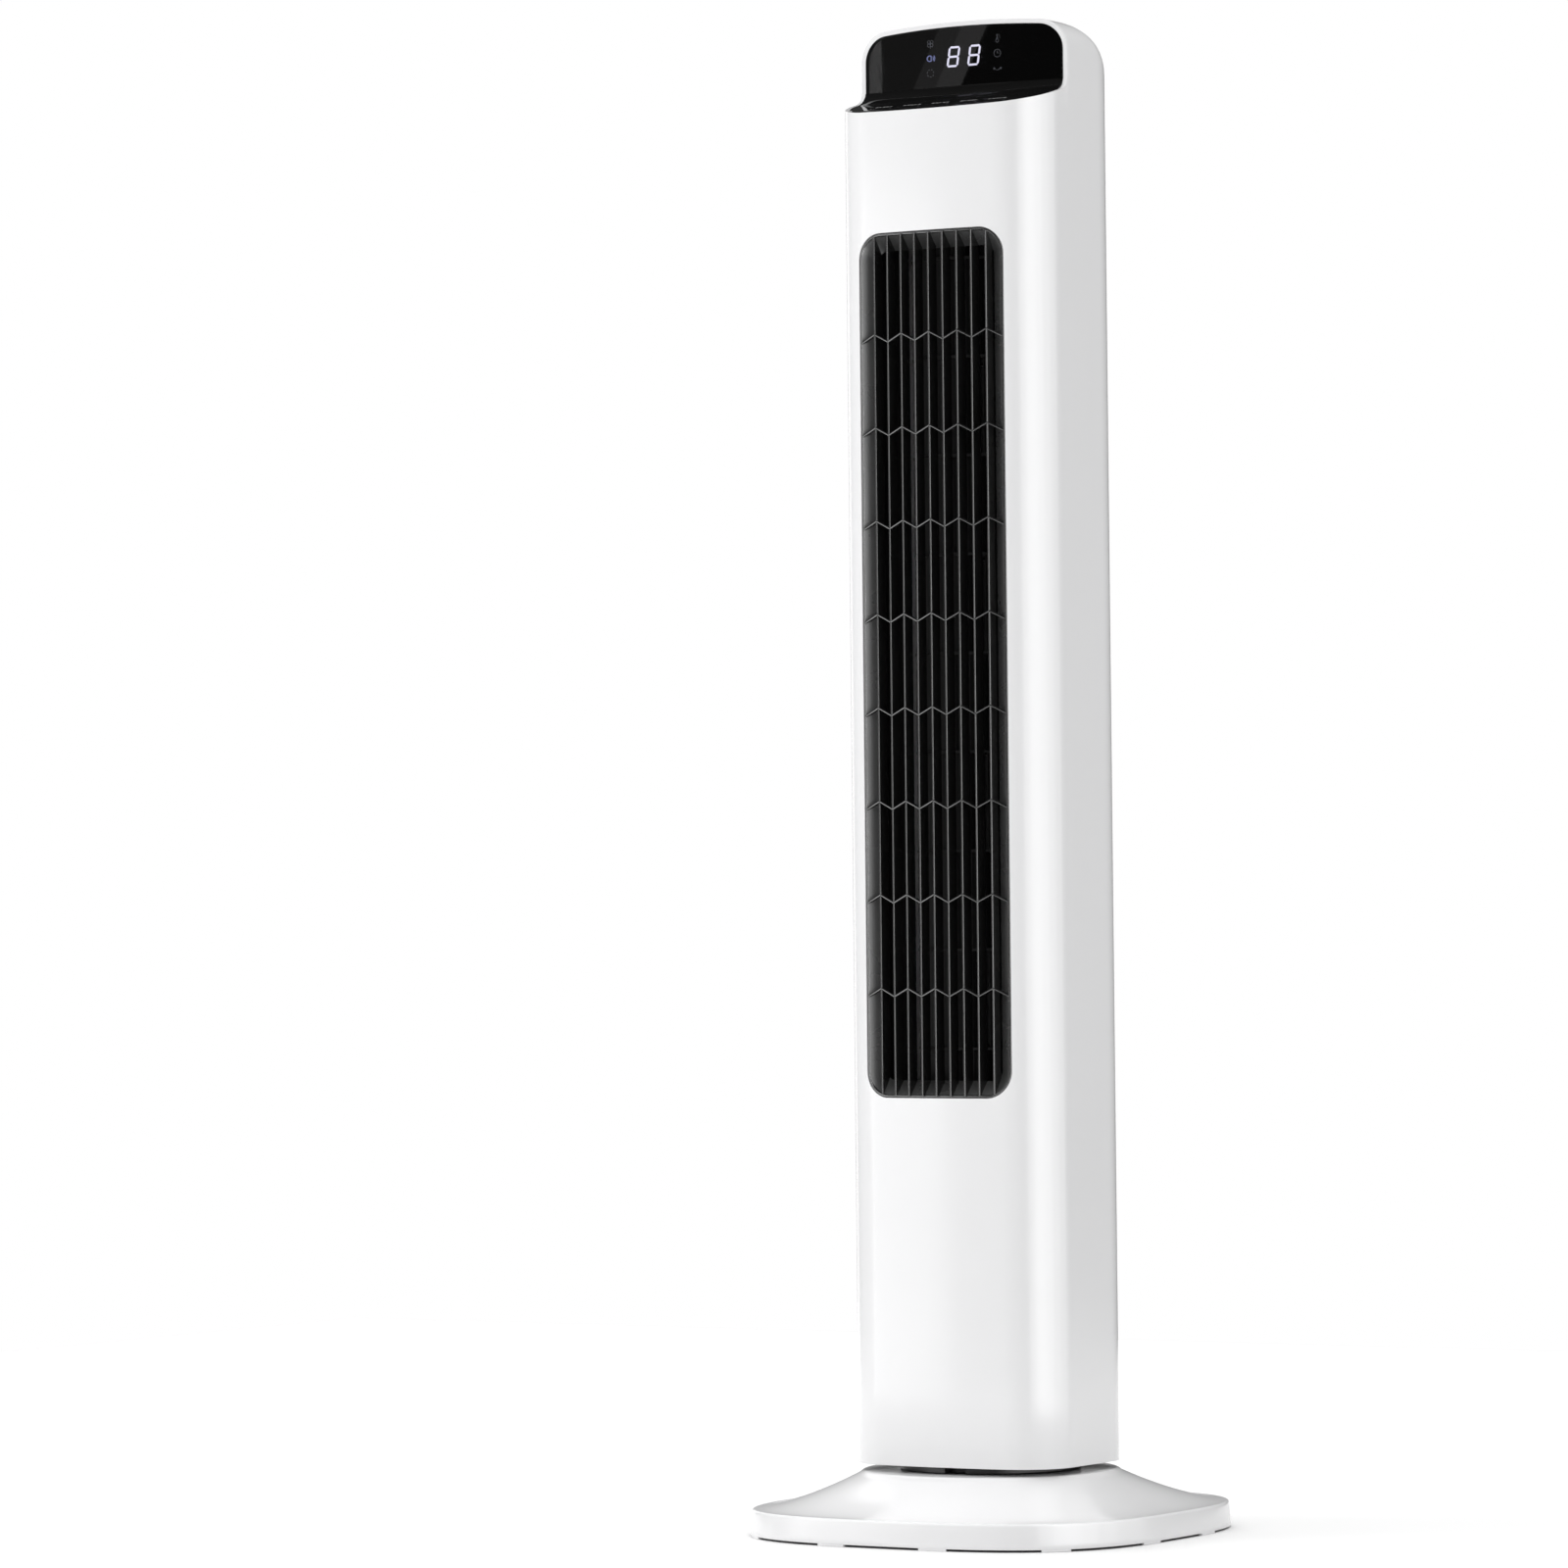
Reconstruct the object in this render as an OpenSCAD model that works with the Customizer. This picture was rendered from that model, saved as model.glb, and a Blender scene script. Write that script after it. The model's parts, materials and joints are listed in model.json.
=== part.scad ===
// Tower fan. A column with a cross-flow impeller swings on a low base. It has an
// outlet grille, an intake grille, and a control recess with a display and five keys.
// Millimetres. The origin is the centre of the base at floor level, +Z is up and the
// outlet faces -Y.

/* [Column] */
// Overall height of the fan
total_h = 1016; // [1012:1:1030]
// Width of the column
column_w = 160; // [158:1:162]
// Distance from the swing axis to the front of the column
front_y = 68; // [67:0.5:69]
// Distance from the swing axis to the back of the column
rear_y = 62.5; // [62:0.5:64]
// Height of the column's lower edge
column_z0 = 47.5; // [47:0.5:49]
// Wall thickness of the column's shells
wall = 3; // [2.5:0.1:3]
// Radius of the column's upright corners
corner_r = 36; // [33:1:38]

/* [Base] */
// Width of the base across its flats
base_w = 292; // [286:1:300]
// Height of the flat on which the column stands
plateau_z = 42.5; // [41:0.5:43]

/* [Outlet grille] */
// Width of the outlet opening
outlet_w = 112; // [110:1:114]
// Height of the outlet's lower edge
outlet_z0 = 293; // [290:1:296]
// Height of the outlet's upper edge
outlet_z1 = 872.3; // [868:0.1:876]
// Spacing of the upright slats
slat_pitch = 10.8; // [10.6:0.1:11]
// Upright slats
slat_count = 9; // [7:2:9]
// Zigzag rows
zigzag_rows = 8; // [6:1:10]

/* [Controls] */
// Height of the key deck at the front lip
deck_z = 954.1; // [950:0.1:956]
// Spacing of the keys
key_pitch = 22; // [21:0.5:23]
// Travel of a key
key_travel = 0.8; // [0.4:0.1:0.8]

/* [Impeller] */
// Outer radius of the impeller
impeller_r = 44; // [42:0.5:45]
// Blades round the impeller
blade_count = 36; // [30:1:40]
// Spacing of the impeller's discs
disc_pitch = 66.2; // [64:0.1:66.2]

/* [Hidden] */
$fn = 48;

// Shells
front_bow_r = 400;          // bow of the column's front, in plan
rear_bow_r = 600;           // bow of the column's back, in plan
roof_arch_r = 850;          // arch of the roof, seen from the front
roof_side_r = 21;           // rounding of the roof's sides
roof_rear_r = 50;           // rounding of the roof's back
seam_y = 47;                // plane where the two shells meet
seam_gap = 0.4;             // width of that seam
fit = 0.2;                  // gap between a shell and a part seated in it

// Base
base_half = base_w / 2;
squircle_n = 3.05;          // exponent of the base's rounded-square outline
base_sides = 56;
base_wall = 2.6;
rim_z = 18.3;               // top of the base's upright rim
plateau_r = 84;
tab_h = 1.6;                // height of the foot tabs under the rim
tab_w = 20;
tab_count = 12;
plate_z0 = 1.8;
plate_z1 = 4.2;
cover_hole_r = 50;          // hole in the base cover under the collar
inlet_z = 10.9;
inlet_r = 6.2;
inlet_bore_r = 3.4;
screw_hole_r = 1.5;         // hole that a screw cuts its own thread in

// Swivel
spindle_r = 16;
spindle_bore_r = 11;
running_gap = 0.06;
pivot_top_z = 46.3;
gear_module = 1;
gear_teeth = 60;
pinion_teeth = 16;
gear_pressure = 20;
gear_backlash = 0.12;
gear_z0 = 39.8;
gear_h = 6;
swing_centre = gear_module * (gear_teeth + pinion_teeth) / 2;
floor_h = 4;
floor_z1 = column_z0 + floor_h;

// Control recess
deck_y = front_y - 2.5;     // front edge of the deck
deck_slope = 0.263;         // rise of the deck towards the back
deck_tilt = atan(deck_slope);
deck_h = 3;
window_y = 23.2;            // distance of the window in front of the axis
window_r = 500;             // bow of the window, in plan
window_h = 3;
crease_z = deck_z + 18.5;   // where the deck's sweep meets the window
sweep_r = 10;
key_y = -48;
key_w = 17;
key_d = 14;
key_gap = 0.3;
digit_w = 11.4;
digit_h = 15.8;
digit_z = deck_z + 37.2;
digit_x = 8;

// Impeller, duct and motor share one upright axis
wheel_y = 2;
first_disc_z = 325.4;
full_segments = 8;
wheel_z0 = first_disc_z - disc_pitch / 2;
wheel_z1 = first_disc_z + (full_segments + 0.5) * disc_pitch;
blade_ring = 10.5;          // radial depth of the ring of blades
disc_h = 2;
duct_z0 = 288;
duct_z1 = 892;
duct_plate_h = 4;
shaft_r = 4;
harness_x = -66;
harness_y = 31;
harness_r = 2.2;

WHITE = "whitesmoke";
BLACK = "#17181a";
STEEL = "silver";
DARK_STEEL = "dimgray";
BOARD = "darkgreen";
RUBBER = "#2b2b2b";

// ---------------------------------------------------------------- shared shapes

// Moves its children to the impeller's axis
module on_wheel_axis() translate([0, -wheel_y, 0]) children();

module tube(r_out, r_in, z0, z1) {
    translate([0, 0, z0])
        difference() {
            cylinder(r = r_out, h = z1 - z0);
            translate([0, 0, -1])
                cylinder(r = r_in, h = z1 - z0 + 2);
        }
}

module rod(r, z0, z1) translate([0, 0, z0]) cylinder(r = r, h = z1 - z0);

module rounded_rect(w, h, r) offset(r = r) square([w - 2 * r, h - 2 * r], center = true);

// Puts its children on a circle
module around(count, radius, start = 0) {
    for (i = [0 : count - 1])
        rotate([0, 0, start + i * 360 / count])
            translate([radius, 0, 0])
                children();
}

// A pan-head screw with its head's underside at z = 0 and its shank below
module screw(r = 1.5, length = 10, head_r = 3, head_h = 2) {
    rod(r, -length, 0.5);
    difference() {
        rod(head_r, 0, head_h);
        for (turn = [0, 90])
            rotate([0, 0, turn])
                translate([-head_r * 0.6, -0.4, head_h - 0.9])
                    cube([head_r * 1.2, 0.8, 2]);
    }
}

// ---------------------------------------------------------------- column shapes

// Plan of the column, drawn inwards by inset
module column_plan(inset = 0) {
    offset(r = -inset)
        offset(r = corner_r)
            offset(r = -corner_r)
                intersection() {
                    translate([-column_w / 2, -front_y])
                        square([column_w, front_y + rear_y]);
                    translate([0, front_bow_r - front_y])
                        circle(r = front_bow_r, $fn = 150);
                    translate([0, rear_y - rear_bow_r])
                        circle(r = rear_bow_r, $fn = 200);
                }
}

// The column seen from the front: an arched roof with rounded sides
module front_outline(inset = 0) {
    offset(r = -inset)
        offset(r = roof_side_r)
            offset(r = -roof_side_r)
                intersection() {
                    translate([-column_w / 2, 0])
                        square([column_w, total_h]);
                    translate([0, total_h - roof_arch_r])
                        circle(r = roof_arch_r, $fn = 240);
                }
}

// The column seen from its side: the roof rolls down at the back
module side_outline(inset = 0) {
    offset(r = -inset)
        offset(r = roof_rear_r)
            offset(r = -roof_rear_r)
                translate([-4 * front_y, 0])
                    square([4 * front_y + rear_y, total_h]);
}

// Extrudes a front view (x, z) through the column
module through_y() rotate([90, 0, 0]) linear_extrude(400, center = true) children();

// Extrudes a side view (y, z) through the column
module through_x() rotate([90, 0, 90]) linear_extrude(400, center = true) children();

module column_solid(inset = 0, z0 = column_z0) {
    intersection() {
        translate([0, 0, z0])
            linear_extrude(total_h - z0)
                column_plan(inset);
        through_y() front_outline(inset);
        through_x() side_outline(inset);
    }
}

// The hollow inside the shells, open at the bottom
module column_hollow(inset) column_solid(inset, column_z0 - 1);

function deck_height(y) = deck_z + deck_slope * (y + deck_y);

// The open space above the deck and in front of the window
module recess_space() {
    difference() {
        through_x()
            polygon([
                [-2 * front_y, deck_height(-2 * front_y)],
                [0, deck_height(0)],
                [0, total_h + 50],
                [-2 * front_y, total_h + 50]
            ]);
        translate([0, window_r - window_y, deck_z - 50])
            cylinder(r = window_r, h = 200, $fn = 200);
    }
}

// Moves its children onto the deck at x, with z along the deck's normal
module on_deck(x) translate([x, key_y, deck_height(key_y)]) rotate([deck_tilt, 0, 0]) children();

module outlet_outline(grow = 0) {
    translate([0, (outlet_z0 + outlet_z1) / 2])
        rounded_rect(outlet_w + 2 * grow, outlet_z1 - outlet_z0 + 2 * grow, 18 + grow);
}

intake_w = 112;
intake_z0 = 300;
intake_z1 = 862;
module intake_outline(grow = 0) {
    translate([0, (intake_z0 + intake_z1) / 2])
        rounded_rect(intake_w + 2 * grow, intake_z1 - intake_z0 + 2 * grow, 14 + grow);
}

cup_w = 108;
cup_h = 38;
cup_z = 932;
cup_depth = 26;
cup_wall = 2;
module cup_outline(grow = 0) {
    translate([0, cup_z])
        rounded_rect(cup_w + 2 * grow, cup_h + 2 * grow, 12 + grow);
}

// ---------------------------------------------------------------- base

function squircle(angle) =
    1 / pow(pow(abs(cos(angle)), squircle_n) + pow(abs(sin(angle)), squircle_n), 1 / squircle_n);

// One ring of the base's skin. It is the outline where blend is 0 and the round
// edge of the plateau where blend is 1
function base_ring(inset, blend, z) = [
    for (i = [0 : base_sides - 1])
        let (a = i * 360 / base_sides,
             r = (squircle(a) * base_half - inset) * (1 - blend) + (plateau_r - inset) * blend)
            [r * cos(a), r * sin(a), z]
];

// Height of the concave slope
function slope_z(blend) = rim_z + (plateau_z - rim_z) * pow(blend, 1.5);

slope_steps = 6;

// A closed solid through rings of points, bottom ring first
module loft(rings) {
    n = len(rings[0]);
    last = len(rings) - 1;
    points = [for (ring = rings) for (p = ring) p];
    walls = [
        for (k = [0 : last - 1])
            for (i = [0 : n - 1])
                let (j = (i + 1) % n)
                    for (face = [[k * n + i, (k + 1) * n + j, k * n + j],
                                 [k * n + i, (k + 1) * n + i, (k + 1) * n + j]])
                        face
    ];
    lower = [for (i = [0 : n - 1]) i];
    upper = [for (i = [n - 1 : -1 : 0]) last * n + i];
    polyhedron(points, concat(walls, [lower, upper]));
}

module base_form(inset, drop, z0) {
    loft(concat(
        [base_ring(inset, 0, z0),
         base_ring(inset + 0.2, 0, 5 - drop),
         base_ring(inset + 1.2, 0, rim_z - 3 - drop / 2),
         base_ring(inset + 2, 0, rim_z - 1 - drop),
         base_ring(inset + 3.8, 0, rim_z - drop)],
        [for (k = [1 : slope_steps])
            base_ring(inset + 3.8 * (1 - k / slope_steps), k / slope_steps,
                      slope_z(k / slope_steps) - drop)]
    ));
}

module base_outline(inset = 0) {
    polygon([for (p = base_ring(inset, 0, 0)) [p[0], p[1]]]);
}

module base_cover() color(WHITE) {
    difference() {
        union() {
            difference() {
                base_form(0, 0, tab_h);
                base_form(base_wall, base_wall, -1);
            }
            // Bosses for the screws of the bottom plate
            intersection() {
                around(foot_count, screw_radius) rod(4, plate_z1 + 0.1, plateau_z);
                base_form(1.2, 1.2, 0);
            }
        }
        around(foot_count, screw_radius) rod(screw_hole_r, 0, 13);
        rod(cover_hole_r, 0, plateau_z + 5);
        translate([0, base_half + 5, inlet_z])
            rotate([90, 0, 0])
                cylinder(r = inlet_r, h = 20);
    }
    // Foot tabs under the rim
    intersection() {
        linear_extrude(tab_h)
            difference() {
                base_outline(0.2);
                base_outline(base_wall - 0.2);
            }
        for (i = [0 : tab_count - 1])
            rotate([0, 0, (i + 0.5) * 360 / tab_count])
                translate([0, -tab_w / 2, -1])
                    cube([base_w, tab_w, 10]);
    }
}

pivot_screw_radius = 41;
foot_count = 6;
foot_radius = 118;
foot_r = 10;
screw_radius = 124;

module base_plate() color(BLACK) {
    difference() {
        translate([0, 0, plate_z0])
            linear_extrude(plate_z1 - plate_z0)
                base_outline(base_wall + 0.8);
        around(foot_count, foot_radius, 30) rod(foot_r, -1, 3);
        around(foot_count, screw_radius) rod(1.7, -1, 8);
        around(4, pivot_screw_radius, 45) rod(screw_hole_r + 0.4, 2.5, 8);
        rod(14, -1, 8);
    }
    // Rim that centres the ballast
    tube(112, 110, plate_z1, 10);
}

module base_ballast() color(DARK_STEEL) {
    difference() {
        tube(109, 52, plate_z1, plate_z1 + 8);
        around(3, 80) rod(4, 0, 20);
    }
}

module foot_pads() color(RUBBER) {
    around(foot_count, foot_radius, 30) {
        rod(foot_r - fit, 0, 2.9);
    }
}

module base_screws() color(STEEL) {
    around(foot_count, screw_radius)
        translate([0, 0, plate_z0])
            mirror([0, 0, 1])
                screw(r = 1.5, length = 9, head_h = 1.4);
}

module pivot_housing() color(BLACK) {
    difference() {
        union() {
            rod(21, 20, pivot_top_z);
            rod(34, 20, 24);
            tube(34, 30, plate_z1, 22);
            tube(48, 30, plate_z1, plate_z1 + 3.5);
            // Ribs under the gear
            for (i = [0 : 5])
                rotate([0, 0, i * 60])
                    translate([20, -1.5, 24])
                        cube([12, 3, gear_z0 - 26]);
        }
        rod(spindle_r + running_gap, 10, pivot_top_z + 1);
        around(4, pivot_screw_radius, 45) rod(2, 0, 20);
    }
}

module pivot_screws() color(STEEL) {
    around(4, pivot_screw_radius, 45)
        translate([0, 0, plate_z1 + 3.5])
            screw(r = 1.8, length = 5, head_r = 3.4);
}

// Half of a tooth's angle at radius r
function tooth_half(r, pitch_r, teeth) =
    let (base_r = pitch_r * cos(gear_pressure),
         a = acos(min(1, base_r / max(r, base_r))),
         inv_a = tan(a) * 180 / PI - a,
         inv_p = tan(gear_pressure) * 180 / PI - gear_pressure)
        90 / teeth - gear_backlash / 2 / pitch_r * 180 / PI + inv_p - inv_a;

module gear_outline(teeth) {
    pitch_r = gear_module * teeth / 2;
    root_r = pitch_r - 1.25 * gear_module;
    tip_r = pitch_r + 0.95 * gear_module;
    flank = 3;
    radii = [for (k = [0 : flank]) root_r + (tip_r - root_r) * k / flank];
    polygon([
        for (i = [0 : teeth - 1])
            for (side = [-1, 1])
                for (k = [0 : flank])
                    let (r = radii[side < 0 ? k : flank - k],
                         a = i * 360 / teeth + side * tooth_half(r, pitch_r, teeth))
                        [r * cos(a), r * sin(a)]
    ]);
}

module swivel_gear() color("ivory") {
    translate([0, 0, gear_z0])
        linear_extrude(gear_h)
            difference() {
                gear_outline(gear_teeth);
                circle(r = 21.05);
            }
    tube(25, 21.05, gear_z0 - 2, gear_z0 + 1);
}

module thrust_washer() color("ivory") {
    tube(21, spindle_r + 0.4, pivot_top_z, column_z0 - 0.1);
}

module cord_inlet() color(RUBBER) {
    translate([0, base_half - 1, inlet_z])
        rotate([90, 0, 0])
            difference() {
                union() {
                    cylinder(r = inlet_r - 0.1, h = 9);
                    translate([0, 0, 4.5])
                        cylinder(r = inlet_r - 1.5, h = 12);
                }
                translate([0, 0, -1])
                    cylinder(r = inlet_bore_r, h = 30);
            }
}

// ---------------------------------------------------------------- swivel

collar_r = 61;
collar_notch = 15;          // width of the notch in the collar's front
module swivel_collar() color(BLACK) {
    difference() {
        tube(collar_r, 52, plateau_z + 0.5, column_z0);
        rotate([0, 0, -83])
            translate([collar_r - 3, -collar_notch / 2, plateau_z + 1.2])
                cube([10, collar_notch, 10]);
    }
}

spindle_flange_r = 23.5;
spindle_screw_radius = 19.8;
module spindle() color("ivory") {
    difference() {
        union() {
            rod(spindle_r, 13, floor_z1 + 3);
            rod(spindle_flange_r, floor_z1, floor_z1 + 3);
        }
        rod(spindle_bore_r, 0, 70);
        around(4, spindle_screw_radius, 45) rod(1.7, 50, 70);
    }
}

module spindle_ring() color(STEEL) tube(24, spindle_r + 0.04, 14.5, 19);

module spindle_screws() color(STEEL) {
    around(4, spindle_screw_radius, 45)
        translate([0, 0, floor_z1 + 3])
            screw(r = 1.5, length = 6, head_r = 2.6);
}

module column_floor() color(WHITE) {
    difference() {
        union() {
            translate([0, 0, column_z0])
                linear_extrude(floor_h)
                    column_plan(wall + fit);
            // Posts for the circuit board
            for (x = [-38, 38])
                translate([x - 4, 29, column_z0])
                    cube([8, 5, 46]);
        }
        rod(spindle_r + 0.1, 0, 60);
        around(4, spindle_screw_radius, 45) rod(screw_hole_r, 40, 70);
        translate([0, swing_centre, 0]) rod(3.4, 40, 60);
        for (x = [-17.5, 17.5])
            translate([swing_motor_x + x, swing_centre, 0]) rod(screw_hole_r, floor_z1 - 3, 60);
        for (x = [-38, 38])
            translate([x, pcb_y + 1, pcb_z0 + 4])
                rotate([90, 0, 0])
                    cylinder(r = screw_hole_r, h = 5);
    }
}

module swing_pinion() color("ivory") {
    translate([0, swing_centre, 0]) {
        translate([0, 0, gear_z0 + 0.4])
            rotate([0, 0, 180 / pinion_teeth])
                linear_extrude(gear_h)
                    gear_outline(pinion_teeth);
        rod(2.5, gear_z0 + 2, floor_z1 + 4);
    }
}

swing_motor_x = 8;
module swing_motor() color(STEEL) {
    translate([swing_motor_x, swing_centre, 0]) {
        difference() {
            union() {
                rod(14, floor_z1, floor_z1 + 19);
                translate([-21, -3.5, floor_z1])
                    cube([42, 7, 0.9]);
            }
            for (x = [-17.5, 17.5])
                translate([x, 0, 0]) rod(1.7, 40, floor_z1 + 3);
            translate([-swing_motor_x, 0, 0]) rod(3.4, 40, floor_z1 + 6);
        }
        translate([13, -7, floor_z1 + 4.5])
            cube([5, 14, 12]);
    }
}

module swing_screws() color(DARK_STEEL) {
    for (x = [-17.5, 17.5])
        translate([swing_motor_x + x, swing_centre, floor_z1 + 0.9])
            screw(r = 1.5, length = 3.5, head_r = 2.8);
}

// ---------------------------------------------------------------- shells and grilles

rear_screw_z = [72, 170, 268, 905, 972];
rear_screw_x = 62;
rear_screw_y = 52;          // seat of a screw's head
boss_y = 36;

// Moves its children to each screw of the rear shell, with z along the screw
module at_rear_screws() {
    for (z = rear_screw_z)
        for (side = [-1, 1])
            translate([side * rear_screw_x, rear_screw_y, z])
                rotate([-90, 0, 0])
                    children();
}

// Posts inside the front shell's edges, which take the rear shell's screws
module front_bosses() {
    intersection() {
        column_solid(1);
        for (z = rear_screw_z)
            for (side = [-1, 1])
                translate([side > 0 ? rear_screw_x - 4 : -column_w / 2, boss_y, z - 4])
                    cube([column_w / 2 - rear_screw_x + 4, seam_y - 0.5 - boss_y, 8]);
    }
}

module front_housing() color(WHITE) {
    difference() {
        union() {
            difference() {
                intersection() {
                    column_solid();
                    translate([-200, -200, 0])
                        cube([400, 200 + seam_y - seam_gap / 2, 1100]);
                }
                column_hollow(wall);
            }
            front_bosses();
        }
        at_rear_screws() rod(screw_hole_r + 0.1, -30, 0);
        recess_space();
        intersection() {
            through_y() outlet_outline();
            translate([-200, -200, 0])
                cube([400, 200, 1100]);
        }
    }
}

module rear_housing() color(WHITE) {
    difference() {
        intersection() {
            column_solid();
            translate([-200, seam_y + seam_gap / 2, 0])
                cube([400, 200, 1100]);
        }
        column_hollow(wall);
        intersection() {
            union() {
                through_y() intake_outline();
                through_y() cup_outline();
            }
            translate([-200, 0, 0])
                cube([400, 200, 1100]);
        }
        at_rear_screws() {
            rod(1.8, -20, 1);
            rod(2.9, 0, 20);
        }
    }
    // Sleeves round the screws, between the two shells
    at_rear_screws() tube(4.4, 1.8, seam_y + seam_gap / 2 - rear_screw_y, 0);
}

module housing_screws() color(STEEL) {
    at_rear_screws() screw(r = 1.5, length = 16, head_r = 2.6, head_h = 1.3);
}

slat_t = 1.3;
slat_depth = 11;
zigzag_rise = 5.5;
grille_depth = 5;           // depth of the zigzag rows
grille_rim = 2;
grille_back_y = -55;        // back of the grille's frame
funnel_inset = 11.5;        // inset of the frame's mouth at its back
funnel_y = grille_back_y - funnel_inset + grille_rim;

// One zigzag row, from the left edge of the outlet to the right edge
module zigzag(z) {
    half = (slat_count + 1) / 2;
    spine = concat(
        [[-outlet_w / 2 - 1, -zigzag_rise / 2]],
        [for (k = [1 : slat_count]) [(k - half) * slat_pitch, (k % 2 - 0.5) * zigzag_rise]],
        [[outlet_w / 2 + 1, -zigzag_rise / 2]]
    );
    lower = [for (p = spine) [p[0], z + p[1] - slat_t / 2]];
    upper = [for (k = [len(spine) - 1 : -1 : 0]) [spine[k][0], z + spine[k][1] + slat_t / 2]];
    polygon(concat(lower, upper));
}

zigzag_pitch = (outlet_z1 - outlet_z0) / (zigzag_rows + 1.25);
outlet_mid_z = (outlet_z0 + outlet_z1) / 2;

// The column's skin over the outlet, between two depths
module outlet_skin(depth0, depth1) {
    intersection() {
        translate([0, 0, outlet_z0 - 10])
            linear_extrude(outlet_z1 - outlet_z0 + 20)
                difference() {
                    column_plan(depth0);
                    column_plan(depth1);
                }
        translate([-100, -100, 0])
            cube([200, 100, 1100]);
    }
}

module outlet_slats() {
    intersection() {
        through_y()
            intersection() {
                outlet_outline(-fit);
                for (k = [1 : slat_count])
                    translate([(k - (slat_count + 1) / 2) * slat_pitch - slat_t / 2, 0])
                        square([slat_t, total_h]);
            }
        outlet_skin(0.3, slat_depth);
    }
}

module outlet_zigzags() {
    intersection() {
        through_y()
            intersection() {
                outlet_outline(-fit);
                for (k = [1 : zigzag_rows])
                    zigzag(outlet_mid_z + (k - (zigzag_rows + 1) / 2) * zigzag_pitch);
            }
        outlet_skin(0.3, grille_depth);
    }
}

// Moves an outline to y, extruded towards the back by depth
module outline_at(y, depth) {
    translate([0, y, 0])
        rotate([90, 0, 0])
            mirror([0, 0, 1])
                linear_extrude(depth)
                    children();
}

// Deep frame round the slats, whose mouth narrows towards the wheel
module outlet_frame() {
    difference() {
        intersection() {
            outline_at(-front_y, front_y + grille_back_y) outlet_outline(-fit);
            outlet_skin(0.3, 20);
        }
        hull() {
            outline_at(-front_y - 1, front_y + 1 + funnel_y) outlet_outline(-grille_rim);
            outline_at(grille_back_y, 1) outlet_outline(-funnel_inset);
        }
    }
}

module front_grille() color(BLACK) {
    outlet_slats();
    outlet_zigzags();
    outlet_frame();
}

intake_bars = 13;
intake_rows = 14;
module rear_grille() color(BLACK) {
    bar_pitch = intake_w / (intake_bars + 1);
    row_pitch = (intake_z1 - intake_z0) / (intake_rows + 1);
    intersection() {
        through_y()
            intersection() {
                intake_outline(-fit);
                union() {
                    for (k = [1 : intake_bars])
                        translate([(k - (intake_bars + 1) / 2) * bar_pitch - 1, 0])
                            square([2, total_h]);
                    for (k = [1 : intake_rows])
                        translate([-intake_w / 2, intake_z0 + k * row_pitch - 1])
                            square([intake_w, 2]);
                    difference() {
                        intake_outline(-fit);
                        intake_outline(-4);
                    }
                }
            }
        difference() {
            translate([0, rear_y - rear_bow_r, 100])
                cylinder(r = rear_bow_r - 0.3, h = 850, $fn = 200);
            translate([0, rear_y - rear_bow_r, 90])
                cylinder(r = rear_bow_r - 3.3, h = 870, $fn = 200);
        }
        translate([-100, 0, 0])
            cube([200, 100, 1100]);
    }
}

module handle_cup() color(BLACK) {
    intersection() {
        translate([0, rear_y - cup_depth, 0])
            rotate([90, 0, 0])
                mirror([0, 0, 1])
                    difference() {
                        linear_extrude(cup_depth) cup_outline(-fit);
                        translate([0, 0, cup_wall])
                            linear_extrude(cup_depth) cup_outline(-fit - cup_wall);
                    }
        column_solid(0.3);
    }
}

// ---------------------------------------------------------------- controls

// Region behind which the window and boards sit
module window_cylinder(inset, h = 200) {
    translate([0, window_r - window_y, deck_z - 50])
        cylinder(r = window_r - inset, h = h, $fn = 200);
}

module key_deck() color(BLACK) {
    difference() {
        intersection() {
            translate([0, 0, deck_z - 40])
                linear_extrude(100)
                    column_plan(wall + fit);
            union() {
                through_x()
                    polygon([
                        [-front_y, deck_height(-front_y)],
                        [-window_y + 12, deck_height(-window_y + 12)],
                        [-window_y + 12, deck_height(-window_y + 12) - deck_h],
                        [-front_y, deck_height(-front_y) - deck_h]
                    ]);
                // Concave sweep up to the window
                translate([0, window_r - window_y, 0])
                    rotate([0, 0, -110])
                        rotate_extrude(angle = 40, $fn = 200)
                            polygon(concat(
                                [[window_r - 1, crease_z - sweep_r - 2]],
                                [[window_r - 1, crease_z]],
                                [for (a = [0 : 15 : 90])
                                    [window_r + sweep_r - sweep_r * cos(a),
                                     crease_z - sweep_r * sin(a)]],
                                [[window_r + sweep_r, crease_z - sweep_r - 2]]
                            ));
            }
        }
        window_cylinder(-0.1);
        for (k = [-2 : 2])
            on_deck(k * key_pitch)
                translate([0, 0, -10])
                    linear_extrude(20)
                        rounded_rect(key_w + 2 * key_gap, key_d + 2 * key_gap, 3);
    }
}

module display_window() color("#101214", 0.9) {
    intersection() {
        difference() {
            window_cylinder(0.3);
            window_cylinder(0.3 + window_h, 250);
        }
        through_y()
            intersection() {
                front_outline(wall + fit);
                translate([-100, crease_z - 6])
                    square([200, 100]);
            }
        translate([-100, -front_y, 0])
            cube([200, front_y, 1100]);
    }
}

board_y = -11;
module display_board() color(BOARD) {
    translate([-60, board_y, digit_z - 15])
        cube([120, 1.6, 32]);
    // Light box of the display
    translate([-32, board_y - 6, digit_z - 14])
        cube([64, 6, 28]);
}

// One segment of a digit, lying along x, with pointed ends
module segment(length, thick) {
    half = length / 2;
    polygon([[-half, 0], [-half + thick / 2, thick / 2], [half - thick / 2, thick / 2],
             [half, 0], [half - thick / 2, -thick / 2], [-half + thick / 2, -thick / 2]]);
}

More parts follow.
